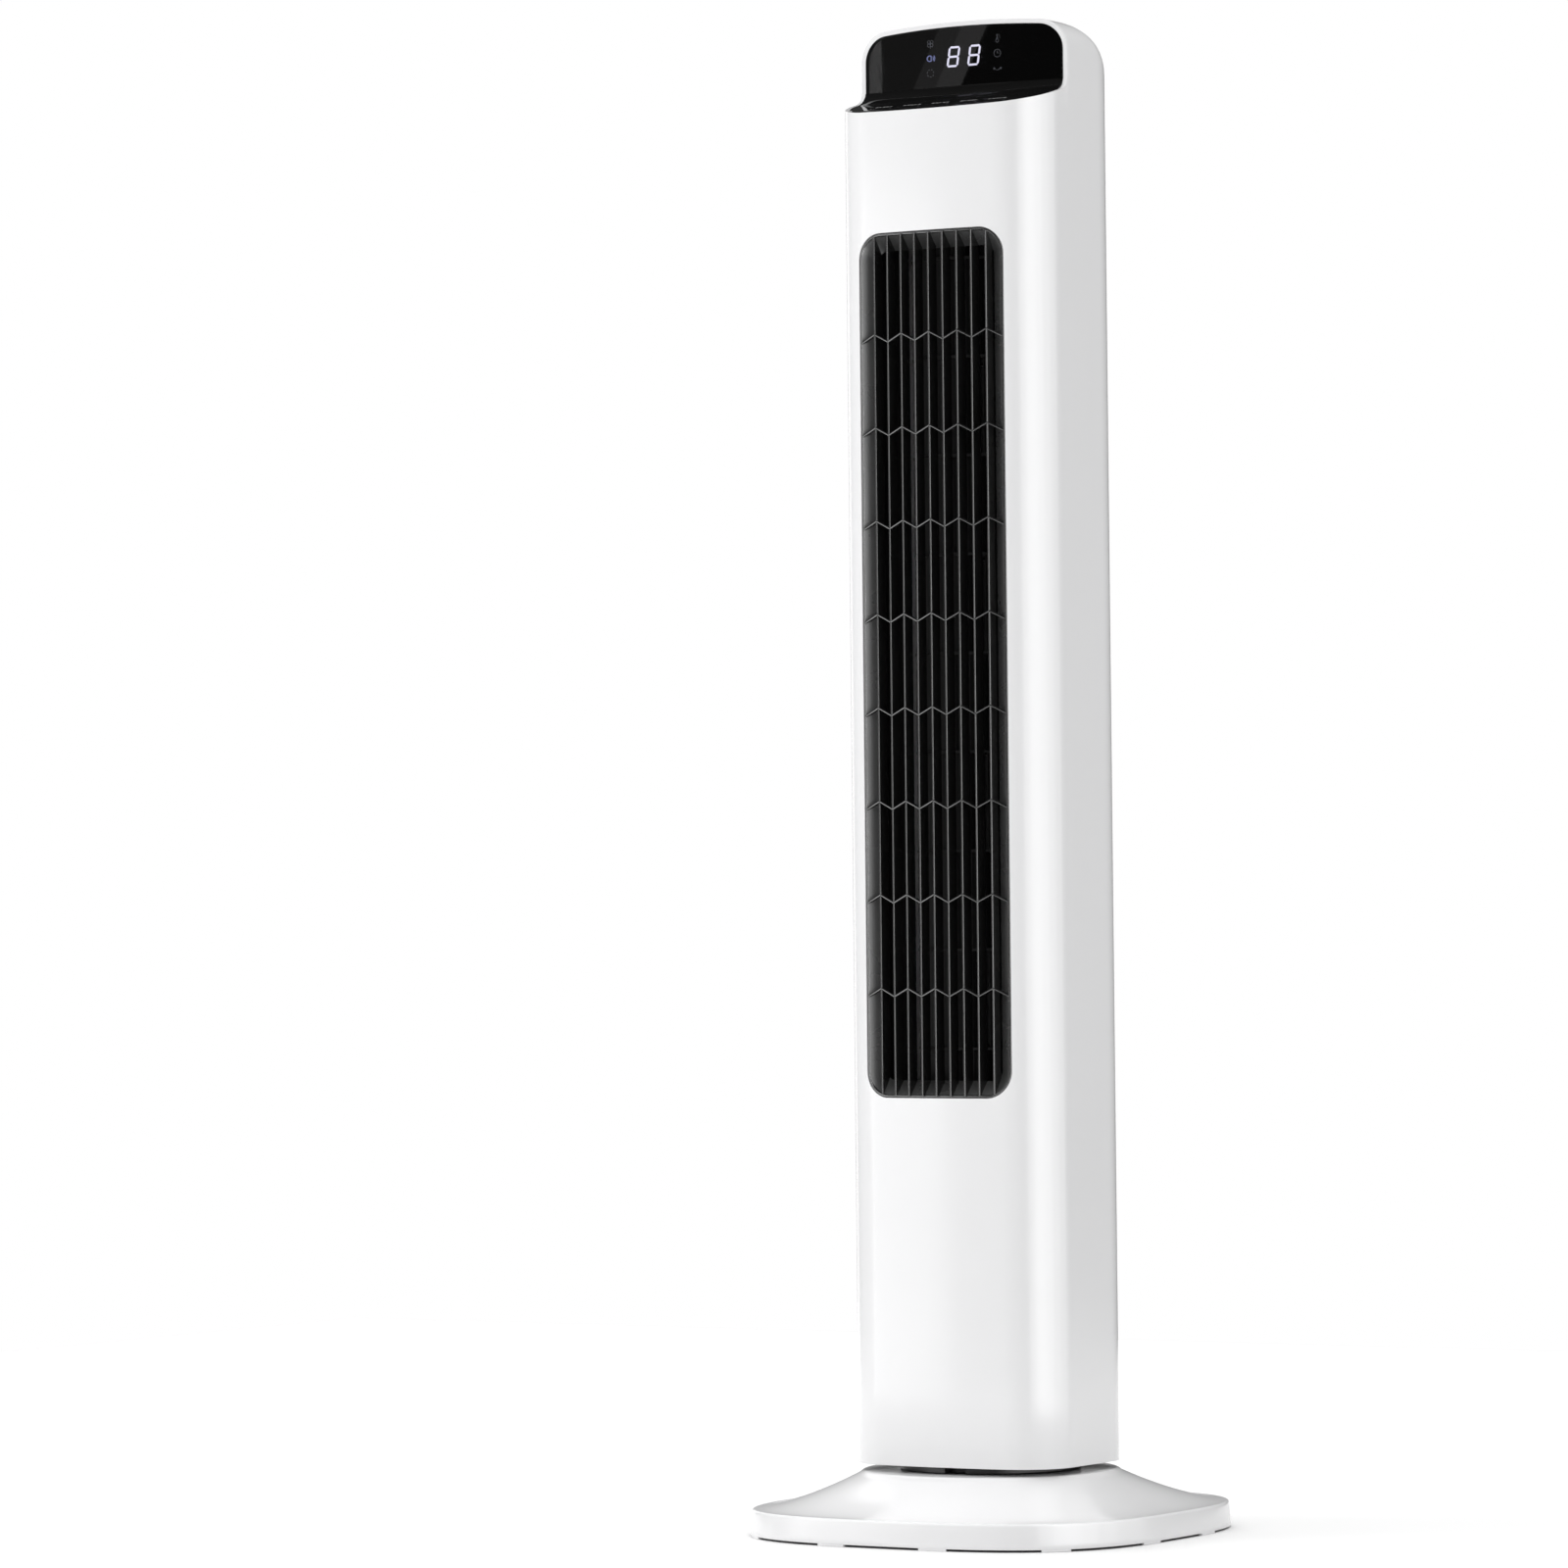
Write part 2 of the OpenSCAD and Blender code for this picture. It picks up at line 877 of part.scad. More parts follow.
module digit() {
    t = 1.6;
    w = digit_w - t;
    h = (digit_h - t) / 2;
    for (k = [-1 : 1])
        translate([0, k * h])
            segment(w - 0.5, t);
    for (side = [-1, 1])
        for (k = [-1, 1])
            translate([side * w / 2, k * h / 2])
                rotate(90)
                    segment(h - 0.5, t);
}

lamp_x = 25.5;
lamp_rise = 10.3;
module display_digits() color("white") {
    translate([0, board_y - 6, digit_z])
        rotate([90, 0, 0])
            linear_extrude(0.5) {
                for (side = [-1, 1])
                    translate([side * digit_x, 0])
                        digit();
                for (side = [-1, 1])
                    for (k = [-1 : 1])
                        translate([side * lamp_x, k * lamp_rise - 1])
                            circle(r = 1.6);
            }
}

module ir_receiver() color(BLACK) {
    translate([44, board_y - 3, digit_z - 4]) {
        cube([6, 3, 7]);
        translate([3, 0.6, 3.5])
            sphere(r = 2.4);
    }
}

board_drop = 11;            // depth of the key board below the deck
module key_board() color(BOARD) {
    on_deck(0)
        translate([-56, -9, -board_drop])
            cube([112, 18, 1.6]);
}

module key_switches() color(DARK_STEEL) {
    for (k = [-2 : 2])
        on_deck(k * key_pitch) {
            translate([-3, -3, -board_drop + 1.6])
                cube([6, 6, 2.2]);
            rod(1.6, -board_drop + 3.8, -board_drop + 4.1);
        }
}

module key(index) color(BLACK) {
    on_deck(index * key_pitch) {
        translate([0, 0, -deck_h - 0.3])
            linear_extrude(deck_h + 0.6)
                rounded_rect(key_w, key_d, 2.7);
        translate([0, 0, -deck_h - 1.5])
            linear_extrude(1.2)
                rounded_rect(key_w + 3, key_d + 2.6, 3);
        rod(2, -board_drop + 4.2 + key_travel, -deck_h);
    }
}

module power_key() key(-2);
module speed_key() key(-1);
module mode_key() key(0);
module timer_key() key(1);
module swing_key() key(2);

// ---------------------------------------------------------------- air duct

// The scroll opens from the back of the wheel round its right side to the outlet
scroll_gap = 5;
scroll_growth = 24.7;
scroll_start = 48;
scroll_end = -44;
scroll_steps = 18;
function scroll_radius(part) = impeller_r + scroll_gap + scroll_growth * part;
function scroll_points(grow) = [
    for (k = [0 : scroll_steps])
        let (part = 1 - k / scroll_steps,
             a = scroll_start + (scroll_end - scroll_start) * part,
             r = scroll_radius(part) + grow)
            [r * cos(a), r * sin(a) - wheel_y]
];
function reversed(list) = [for (i = [len(list) - 1 : -1 : 0]) list[i]];

module duct_scroll() color(BLACK) {
    translate([0, 0, duct_z0])
        linear_extrude(duct_z1 - duct_z0)
            polygon(concat(scroll_points(0), reversed(scroll_points(2))));
}

module duct_tongue() color(BLACK) {
    translate([0, 0, duct_z0])
        linear_extrude(duct_z1 - duct_z0) {
            // Nose bar beside the wheel
            polygon([[-54, -54.5], [-52.2, -54.5], [-50, -44], [-47, -36], [-43.5, -29],
                     [-45, -27], [-49, -34], [-52, -43], [-54, -50]]);
            polygon([[-54, -50], [-52, -43], [-60, -36], [-66, -24], [-67.6, -24.6], [-61.4, -37]]);
        }
}

module duct_plate(z, hole_r) {
    difference() {
        translate([0, 0, z])
            linear_extrude(duct_plate_h)
                intersection() {
                    column_plan(wall + 0.5);
                    translate([-200, -54])
                        square([400, 120]);
                }
        on_wheel_axis() rod(hole_r, z - 10, z + 10);
        translate([harness_x, harness_y, z - 10])
            cylinder(r = harness_r + 0.6, h = 20);
    }
}

module duct_bottom_plate() color(BLACK) duct_plate(duct_z0 - duct_plate_h, 15);

bush_boss_r = 17;
module duct_top_plate() color(BLACK) {
    duct_plate(duct_z1, 13);
    on_wheel_axis() tube(bush_boss_r, 13, duct_z1, duct_z1 + 12);
}

module bush_seat() color(RUBBER) on_wheel_axis() tube(12.95, 7.55, duct_z1 + 0.5, duct_z1 + 11.5);
module upper_bush() color("darkgoldenrod") on_wheel_axis() tube(7.5, shaft_r + 0.05, duct_z1 + 1, duct_z1 + 11);

// ---------------------------------------------------------------- impeller

// Plan of one curved blade
module blade() {
    mean_r = impeller_r - blade_ring / 2;
    arc_r = blade_ring * 0.85;
    translate([mean_r, 0])
        intersection() {
            translate([-1.5, -arc_r + 1.6])
                difference() {
                    circle(r = arc_r, $fn = 40);
                    circle(r = arc_r - 1, $fn = 40);
                }
            translate([-blade_ring / 2 + 0.6, -2])
                square([blade_ring - 1.2, 6]);
        }
}

module impeller_blades() color(DARK_STEEL) {
    on_wheel_axis()
        translate([0, 0, wheel_z0])
            linear_extrude(wheel_z1 - wheel_z0)
                for (i = [0 : blade_count - 1])
                    rotate(i * 360 / blade_count)
                        blade();
}

module impeller_discs() color(DARK_STEEL) {
    on_wheel_axis() {
        for (k = [0 : full_segments])
            tube(impeller_r, impeller_r - blade_ring,
                 first_disc_z + k * disc_pitch - disc_h / 2,
                 first_disc_z + k * disc_pitch + disc_h / 2);
        tube(impeller_r, 12.5, wheel_z0, wheel_z0 + disc_h);
        tube(impeller_r, shaft_r, wheel_z1 - disc_h, wheel_z1);
        tube(9, shaft_r, wheel_z1 - 12, wheel_z1 - disc_h);
    }
}

module impeller_hub() color(RUBBER) {
    on_wheel_axis() {
        tube(12.4, shaft_r, wheel_z0, wheel_z0 + 18);
        tube(15.5, shaft_r, wheel_z0 + disc_h, wheel_z0 + 7);
    }
}

module top_shaft() color(STEEL) on_wheel_axis() rod(shaft_r, wheel_z1 - 14, duct_z1 + 10.5);

// ---------------------------------------------------------------- fan motor

bracket_z = 273;
bracket_h = 3;
module motor_bracket() color(STEEL) {
    on_wheel_axis()
        difference() {
            union() {
                rod(42, bracket_z, bracket_z + bracket_h);
                rod(10, 238, bracket_z);
            }
            rod(7, 230, 280);
            around(3, 34, 30) rod(3, 260, 290);
            around(6, 24) rod(5, 260, 290);
        }
}

module motor_mounts() color(RUBBER) {
    on_wheel_axis()
        around(3, 34, 30) {
            rod(6, bracket_z + bracket_h, duct_z0 - duct_plate_h);
            rod(2.95, bracket_z - 2, bracket_z + bracket_h);
        }
}

module motor_bearings() color("gainsboro") {
    on_wheel_axis()
        for (z = [240, 265])
            tube(6.95, shaft_r + 0.03, z, z + 6);
}

stator_z0 = 246;
stator_h = 15;
stator_teeth = 9;
module motor_stator() color(DARK_STEEL) {
    on_wheel_axis()
        translate([0, 0, stator_z0])
            linear_extrude(stator_h) {
                difference() {
                    circle(r = 14);
                    circle(r = 10.02);
                }
                for (i = [0 : stator_teeth - 1])
                    rotate(i * 360 / stator_teeth) {
                        translate([13, -1.8])
                            square([9, 3.6]);
                        intersection() {
                            difference() {
                                circle(r = 23.2);
                                circle(r = 21.4);
                            }
                            translate([18, -6.2])
                                square([8, 12.4]);
                        }
                    }
            }
}

module motor_windings() color("peru") {
    on_wheel_axis()
        around(stator_teeth, 17.9)
            difference() {
                translate([-2.6, -3.6, stator_z0 - 2.4])
                    cube([5.4, 7.2, stator_h + 4.8]);
                translate([-4, -1.9, stator_z0 - 0.1])
                    cube([8, 3.8, stator_h + 0.2]);
            }
}

module motor_rotor() color(STEEL) {
    on_wheel_axis() {
        tube(28, 26.5, 234, 264);
        difference() {
            tube(28, shaft_r, 231.5, 234);
            around(5, 17) rod(4, 220, 240);
        }
        tube(8, shaft_r, 226.5, 231.5);
    }
}

module motor_magnet() color(RUBBER) on_wheel_axis() tube(26.45, 24, 243, 264);

module motor_shaft() color(STEEL) on_wheel_axis() rod(shaft_r, 225, wheel_z0 + 17);

// ---------------------------------------------------------------- electronics

pcb_y = 34;
pcb_z0 = 86;
pcb_w = 96;
pcb_h = 105;
module main_board() color(BOARD) {
    difference() {
        translate([-pcb_w / 2, pcb_y, pcb_z0])
            cube([pcb_w, 1.6, pcb_h]);
        for (x = [-38, 38])
            translate([x, pcb_y + 5, pcb_z0 + 4])
                rotate([90, 0, 0])
                    cylinder(r = 1.7, h = 10);
    }
}

module board_screws() color(STEEL) {
    for (x = [-38, 38])
        translate([x, pcb_y + 1.6, pcb_z0 + 4])
            rotate([-90, 0, 0])
                screw(r = 1.5, length = 5, head_r = 2.6, head_h = 1.6);
}

// A block on the board's front face
module board_block(x, z, w, h, d) {
    translate([x, pcb_y - d, z])
        cube([w, d, h]);
}

module board_components() color("darkslategray") {
    board_block(-40, 96, 26, 24, 20);
    board_block(-6, 96, 19, 15, 15);
    board_block(18, 98, 24, 30, 6);
    board_block(-42, 172, 14, 10, 9);
    board_block(-22, 172, 14, 10, 9);
    board_block(-2, 172, 20, 10, 9);
    board_block(24, 172, 18, 10, 9);
    for (x = [-30, -6])
        translate([x, pcb_y, 146])
            rotate([90, 0, 0])
                cylinder(r = 8, h = 22);
    translate([26, pcb_y, 150])
        rotate([90, 0, 0])
            cylinder(r = 5, h = 14);
}

// Cable from the main board up to the display board, held against the shell
module display_harness() color(RUBBER) {
    top_z = digit_z - 22;
    translate([harness_x, harness_y, 196])
        cylinder(r = harness_r, h = top_z - 196);
    translate([harness_x, harness_y, 196])
        sphere(r = harness_r);
    translate([harness_x, harness_y, 196])
        rotate([0, 90, 0])
            cylinder(r = harness_r, h = 26);
    translate([harness_x, harness_y, top_z])
        sphere(r = harness_r);
    translate([harness_x, harness_y, top_z])
        rotate([90, 0, 0])
            cylinder(r = harness_r, h = 30);
}

// ---------------------------------------------------------------- assembly

base_cover();
base_plate();
base_ballast();
foot_pads();
base_screws();
pivot_housing();
pivot_screws();
swivel_gear();
thrust_washer();
cord_inlet();
swivel_collar();
spindle();
spindle_ring();
spindle_screws();
column_floor();
front_housing();
rear_housing();
housing_screws();
front_grille();
rear_grille();
handle_cup();
key_deck();
display_window();
display_board();
display_digits();
ir_receiver();
key_board();
key_switches();
duct_scroll();
duct_tongue();
duct_top_plate();
duct_bottom_plate();
upper_bush();
bush_seat();
motor_bracket();
motor_mounts();
motor_bearings();
motor_stator();
motor_windings();
main_board();
board_components();
board_screws();
swing_motor();
swing_screws();
display_harness();
impeller_blades();
impeller_discs();
impeller_hub();
motor_rotor();
motor_magnet();
motor_shaft();
top_shaft();
swing_pinion();
power_key();
speed_key();
mode_key();
timer_key();
swing_key();
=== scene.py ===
import json
from math import acos, asin, atan, atan2, cos, degrees, hypot, pi, radians, sin, sqrt, tan

import bmesh
import bpy
from mathutils import Matrix, Vector


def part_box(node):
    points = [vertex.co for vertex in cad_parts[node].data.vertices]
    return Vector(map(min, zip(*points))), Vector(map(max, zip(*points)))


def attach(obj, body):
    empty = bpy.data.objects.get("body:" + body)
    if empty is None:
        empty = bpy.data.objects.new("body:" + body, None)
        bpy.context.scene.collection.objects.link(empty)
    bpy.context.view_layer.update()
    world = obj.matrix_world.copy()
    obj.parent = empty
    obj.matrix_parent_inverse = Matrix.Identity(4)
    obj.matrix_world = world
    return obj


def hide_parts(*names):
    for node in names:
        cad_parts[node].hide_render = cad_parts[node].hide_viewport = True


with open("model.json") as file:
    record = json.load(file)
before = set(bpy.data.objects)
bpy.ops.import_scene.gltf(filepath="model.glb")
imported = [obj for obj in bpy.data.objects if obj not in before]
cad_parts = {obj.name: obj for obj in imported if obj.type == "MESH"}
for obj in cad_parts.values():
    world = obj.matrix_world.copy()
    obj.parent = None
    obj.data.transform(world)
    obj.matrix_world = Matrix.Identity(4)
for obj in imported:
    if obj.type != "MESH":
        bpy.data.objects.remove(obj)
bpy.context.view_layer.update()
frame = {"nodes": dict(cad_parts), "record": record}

MM = 0.001


def node_box(name):
    """Lowest and highest corner of a CAD node, in millimetres."""
    low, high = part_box(name)
    return low / MM, high / MM


# ------------ sizes of the column

front_low, front_high = node_box("front_housing")
rear_low, rear_high = node_box("rear_housing")
COLUMN_HALF = front_high.x
FRONT_Y = front_low.y
REAR_Y = rear_high.y
BOTTOM_Z = front_low.z
TOP_Z = front_high.z
SEAM_FRONT_Y = front_high.y
SEAM_REAR_Y = rear_low.y
WALL = 3.0
CORNER_R = 36.0
FRONT_BOW_R = 400.0
REAR_BOW_R = 600.0
ROOF_ARCH_R = 850.0
ROOF_SIDE_R = 21.0
ROOF_REAR_R = 50.0


def opening(name, r):
    """(half width, lower edge, upper edge, corner radius) of the opening that holds a CAD node."""
    low, high = node_box(name)
    return high.x + FIT_GAP, low.z - FIT_GAP, high.z + FIT_GAP, r


FIT_GAP = 0.2
OUTLET = OUTLET_HALF, OUTLET_Z0, OUTLET_Z1, _ = opening("front_grille", 18.0)
INTAKE = INTAKE_HALF, INTAKE_Z0, INTAKE_Z1, _ = opening("rear_grille", 14.0)
CUP = CUP_HALF, CUP_Z0, CUP_Z1, CUP_R = opening("handle_cup", 12.0)

window_low = node_box("display_window")[0]
WINDOW_R = 500.0
WINDOW_FACE_Y = window_low.y - 0.3
DECK_SLOPE = 0.263
DECK_TILT = atan(DECK_SLOPE)
DECK_Z = 954.1
DECK_EDGE_Y = FRONT_Y + 2.5
SWEEP_R = 10.0
CREASE_Z = DECK_Z + 18.5
SWEEP_END = 86


def leg(r, x):
    """Height at x of a circle of radius r about the origin."""
    return sqrt(max(0.0, r ** 2 - x ** 2))


def deck_height(y):
    return DECK_Z + DECK_SLOPE * (y - DECK_EDGE_Y)


def window_y(x):
    """Front of the display window, which bows forwards in plan."""
    return WINDOW_FACE_Y + WINDOW_R - leg(WINDOW_R, x)


# ------------ plan of the column

CORNER_X = COLUMN_HALF - CORNER_R
FRONT_BOW_Y = FRONT_Y + FRONT_BOW_R
REAR_BOW_Y = REAR_Y - REAR_BOW_R
FRONT_CORNER_Y = FRONT_BOW_Y - leg(FRONT_BOW_R - CORNER_R, CORNER_X)
REAR_CORNER_Y = REAR_BOW_Y + leg(REAR_BOW_R - CORNER_R, CORNER_X)


def front_y(x, inset=0.0):
    """Front surface of the column at x, or one that lies inset behind it."""
    x = abs(x)
    bow_r, corner_r = FRONT_BOW_R - inset, CORNER_R - inset
    if x <= CORNER_X * bow_r / (bow_r - corner_r):
        return FRONT_BOW_Y - leg(bow_r, x)
    return FRONT_CORNER_Y - leg(corner_r, x - CORNER_X)


def rear_y(x):
    """Back surface of the column at x."""
    x = abs(x)
    if x <= CORNER_X * REAR_BOW_R / (REAR_BOW_R - CORNER_R):
        return REAR_BOW_Y + leg(REAR_BOW_R, x)
    return REAR_CORNER_Y + leg(CORNER_R, x - CORNER_X)


def roof_z(x):
    """The roof's arch."""
    return TOP_Z - ROOF_ARCH_R + leg(ROOF_ARCH_R, x)


def steps(start, end, count):
    """count + 1 evenly spaced numbers."""
    return [start + (end - start) * i / count for i in range(count + 1)]


def turns(start, end, count):
    """count + 1 evenly spaced angles, given in degrees and returned in radians."""
    return [radians(a) for a in steps(start, end, count)]


def circle(r, count, cx=0.0, cy=0.0):
    """Points of a closed circle."""
    return [(cx + r * cos(a), cy + r * sin(a)) for a in steps(0, 2 * pi, count)[:-1]]


def smooth(t):
    t = max(0.0, min(1.0, t))
    return t * t * (3 - 2 * t)


# ------------ mesh helpers

def placed(name, data):
    """A new object with this data, in the scene."""
    ob = bpy.data.objects.new(name, data)
    bpy.context.scene.collection.objects.link(ob)
    return ob


class Shape:
    """Collects quads in millimetres and becomes one object. Points that coincide merge."""

    def __init__(self):
        self.points = []
        self.faces = []

    def add(self, points, faces):
        start = len(self.points)
        self.points += [tuple(p) for p in points]
        self.faces += [tuple(i + start for i in f) for f in faces]

    def face(self, *points):
        self.add(points, [range(len(points))])

    def grid(self, rows, closed=False, flip=False, cap=False):
        """Quads between rows of points. closed joins each row's ends, cap closes both ends."""
        n = len(rows[0])
        last = n if closed else n - 1
        faces = []
        for r in range(len(rows) - 1):
            for i in range(last):
                j = (i + 1) % n
                quad = (r * n + i, r * n + j, (r + 1) * n + j, (r + 1) * n + i)
                faces.append(quad[::-1] if flip else quad)
        if cap:
            end = (len(rows) - 1) * n
            low = tuple(range(n - 1, -1, -1))
            high = tuple(range(end, end + n))
            faces += [low[::-1], high[::-1]] if flip else [low, high]
        self.add([p for row in rows for p in row], faces)

    def solid(self, rows):
        """A closed body through loops of points."""
        self.grid(rows, closed=True, cap=True)

    def prism(self, outline, z0, z1):
        """An upright body with an (x, y) outline."""
        self.solid([[(x, y, z) for x, y in outline] for z in (z0, z1)])

    def merge(self, other):
        self.add(other.points, other.faces)

    def make(self, name, weld=0.004, degenerate=True):
        """An object with the shape's mesh, with coinciding points merged."""
        mesh = bpy.data.meshes.new(name)
        mesh.from_pydata([tuple(c * MM for c in p) for p in self.points], [], self.faces)
        bm = bmesh.new()
        bm.from_mesh(mesh)
        bmesh.ops.remove_doubles(bm, verts=bm.verts, dist=weld * MM)
        if degenerate:
            bmesh.ops.dissolve_degenerate(bm, edges=bm.edges, dist=weld * MM / 4)
        bmesh.ops.recalc_face_normals(bm, faces=bm.faces)
        bm.to_mesh(mesh)
        bm.free()
        return placed(name, mesh)

    def build(self, name, material, body, replaces=(), slot=None, weld=0.004, angle=32):
        """A visible piece that rides a body."""
        ob = self.make(name, weld)
        ob.data.materials.append(material)
        shade(ob, angle)
        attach(ob, body)
        if replaces:
            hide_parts(*replaces)
        return ob


def keep_below(ob, top):
    """Bevels may lift a vertex a little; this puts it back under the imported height."""
    for vertex in ob.data.vertices:
        vertex.co.z = min(vertex.co.z, top * MM)


def shade(ob, angle=32):
    """Smooth shading with sharp edges over the given angle."""
    ob.data.shade_smooth()
    ob.data.set_sharp_from_angle(angle=radians(angle))


def settle(ob, angle=32):
    """Applies the modifiers to the mesh."""
    depsgraph = bpy.context.evaluated_depsgraph_get()
    depsgraph.update()
    mesh = bpy.data.meshes.new_from_object(ob.evaluated_get(depsgraph))
    ob.modifiers.clear()
    ob.data = mesh
    shade(ob, angle)
    return ob


def thicken(ob, wall):
    mod = ob.modifiers.new("wall", "SOLIDIFY")
    mod.thickness = wall * MM
    mod.offset = -1


def round_edges(ob, width, segments=2, angle=40):
    mod = ob.modifiers.new("round", "BEVEL")
    mod.width = width * MM
    mod.segments = segments
    mod.limit_method = "ANGLE"
    mod.angle_limit = radians(angle)


def cut(ob, shape, name, angle=32):
    """Takes a closed shape out of ob."""
    cutter = shape.make(name, degenerate=False)
    mod = ob.modifiers.new("cut", "BOOLEAN")
    mod.operation = "DIFFERENCE"
    mod.solver = "EXACT"
    mod.object = cutter
    settle(ob, angle)
    mesh = cutter.data
    bpy.data.objects.remove(cutter)
    bpy.data.meshes.remove(mesh)


def slice_shape(ob, y, keep_front):
    """Cuts ob's mesh at a plane of constant y and keeps one side."""
    bm = bmesh.new()
    bm.from_mesh(ob.data)
    bmesh.ops.bisect_plane(
        bm, geom=bm.verts[:] + bm.edges[:] + bm.faces[:], dist=1e-6,
        plane_co=(0, y * MM, 0), plane_no=(0, 1, 0),
        clear_outer=keep_front, clear_inner=not keep_front)
    bm.to_mesh(ob.data)
    bm.free()


def rounded_loop(half, z0, z1, r, per_corner=10):
    """(x, z) points round a rounded rectangle, from the right side upwards."""
    out = []
    for cx, cz, start in ((half - r, z1 - r, 0), (-half + r, z1 - r, 90),
                          (-half + r, z0 + r, 180), (half - r, z0 + r, 270)):
        out += [(cx + r * cos(a), cz + r * sin(a))
                for a in turns(start, start + 90, per_corner)]
    return out


# ------------ materials

class Graph:
    """A material's nodes, with short calls for the ones used here."""

    def __init__(self, name):
        self.material = bpy.data.materials.new(name)
        self.material.use_nodes = True
        self.nodes = self.material.node_tree.nodes
        self.links = self.material.node_tree.links
        self.shader = self.nodes["Principled BSDF"]
        self.coords = self.nodes.new("ShaderNodeTexCoord").outputs["Object"]

    def node(self, kind, socket, value, **inputs):
        """A node with value linked to a socket and its other inputs set."""
        node = self.nodes.new("ShaderNode" + kind)
        self.links.new(value, node.inputs[socket])
        for name, number in inputs.items():
            node.inputs[name.replace("_", " ")].default_value = number
        return node

    def noise(self, scale, detail=3.0, rough=0.55, stretch=None):
        place = self.coords
        if stretch:
            place = self.node("Mapping", "Vector", place, Scale=stretch).outputs["Vector"]
        node = self.node("TexNoise", "Vector", place, Scale=scale, Detail=detail, Roughness=rough)
        return node.outputs["Fac"]

    def colour(self, value, dark, light, socket="Base Color"):
        node = self.nodes.new("ShaderNodeMix")
        node.data_type = "RGBA"
        node.inputs["A"].default_value = (*dark, 1)
        node.inputs["B"].default_value = (*light, 1)
        self.links.new(value, node.inputs["Factor"])
        self.links.new(node.outputs["Result"], self.shader.inputs[socket])

    def roughness(self, value, low, high):
        node = self.node("MapRange", "Value", value,
                         From_Min=0.3, From_Max=0.7, To_Min=low, To_Max=high)
        self.links.new(node.outputs["Result"], self.shader.inputs["Roughness"])

    def bump(self, value, strength, distance):
        node = self.node("Bump", "Height", value, Strength=strength, Distance=distance)
        self.links.new(node.outputs["Normal"], self.shader.inputs["Normal"])

    def set(self, **values):
        for name, value in values.items():
            self.shader.inputs[name.replace("_", " ")].default_value = value


def plastic(name, dark, light, rough, grain=900, grain_depth=0.00002, grain_strength=0.25, **values):
    """Moulded plastic: faint clouding, uneven gloss and a fine surface grain."""
    g = Graph(name)
    g.colour(g.noise(6, 4), dark, light)
    g.roughness(g.noise(18, 5), rough[0], rough[1])
    g.bump(g.noise(grain, 2), grain_strength, grain_depth)
    g.set(**values)
    return g.material


def metal(name, dark, light, rough, stretch=(1, 1, 60), **values):
    """Metal with fine drawn lines."""
    g = Graph(name)
    lines = g.noise(60, 4, 0.6, stretch)
    g.colour(lines, dark, light)
    g.roughness(lines, rough[0], rough[1])
    g.bump(lines, 0.15, 0.00002)
    g.set(Metallic=1.0, **values)
    return g.material


def grey(v):
    return (v, v, v)


WHITE = plastic("white_abs", (0.625, 0.625, 0.63), (0.645, 0.645, 0.65), (0.15, 0.20),
                grain=260, grain_depth=0.00001, grain_strength=0.12, Specular_IOR_Level=0.7)
BLACK_GLOSS = plastic("black_gloss", grey(0.003), grey(0.005), (0.03, 0.07),
                      grain=220, grain_depth=0.000004, grain_strength=0.05)
BLACK_SATIN = plastic("black_satin", grey(0.018), grey(0.026), (0.26, 0.34),
                      grain=1400, grain_depth=0.00003, grain_strength=0.25)
DARK_PLASTIC = plastic("dark_moulding", grey(0.008), grey(0.014), (0.42, 0.55),
                       grain=1100, grain_depth=0.00005)
NATURAL = plastic("natural_acetal", (0.66, 0.62, 0.52), (0.74, 0.70, 0.60), (0.35, 0.45))
GRILLE_BLACK = plastic("grille_black", grey(0.003), grey(0.006), (0.20, 0.27), grain=1400,
                       grain_depth=0.00001, grain_strength=0.1, Specular_IOR_Level=0.9, IOR=1.8)
# Painted light: the grille's black made lighter, standing in for the light that falls on the sloped
# walls inside the outlet
FUNNEL_PAINTED_LIGHT = plastic("funnel_painted_light", grey(0.05), grey(0.06), (0.24, 0.32), grain=1400,
                       grain_depth=0.00001, grain_strength=0.1, Specular_IOR_Level=0.9)
RUBBER = plastic("rubber", grey(0.012), grey(0.022), (0.75, 0.9), grain=1600,
                 grain_depth=0.00008, grain_strength=0.4)
BOARD = plastic("solder_mask", (0.008, 0.07, 0.03), (0.015, 0.11, 0.05), (0.3, 0.4))
COMPONENT = plastic("component_body", grey(0.02), grey(0.045), (0.4, 0.55))
STEEL = metal("zinc_steel", grey(0.42), grey(0.62), (0.28, 0.42))
DARK_STEEL = metal("laminated_steel", grey(0.10), grey(0.20), (0.4, 0.5), (1, 1, 400))
CAST_IRON = plastic("cast_iron", grey(0.05), grey(0.09), (0.6, 0.75), grain=500,
                    grain_depth=0.0003, grain_strength=0.6, Metallic=0.7)
FERRITE = plastic("ferrite", grey(0.03), grey(0.06), (0.5, 0.65), grain=1200)
BRONZE = metal("oiled_bronze", (0.42, 0.26, 0.10), (0.55, 0.36, 0.16), (0.35, 0.45))
COPPER = metal("copper_wire", (0.50, 0.20, 0.08), (0.65, 0.29, 0.13), (0.25, 0.35), (300, 300, 1))


def smoked_glass():
    """Dark clear acrylic."""
    g = Graph("smoked_acrylic")
    g.colour(g.noise(8, 3), grey(0.10), grey(0.13))
    g.roughness(g.noise(20, 3), 0.0, 0.02)
    g.set(Transmission_Weight=1.0, IOR=1.49, Specular_IOR_Level=0.2)
    return g.material


def lit(name, colour, strength):
    """Translucent legend, lit from behind and slightly uneven."""
    g = Graph(name)
    glow = g.noise(260, 2)
    g.colour(glow, tuple(0.8 * c for c in colour), colour)
    g.colour(glow, tuple(0.85 * c for c in colour), colour, "Emission Color")
    g.set(Emission_Strength=strength, Roughness=0.5)
    return g.material


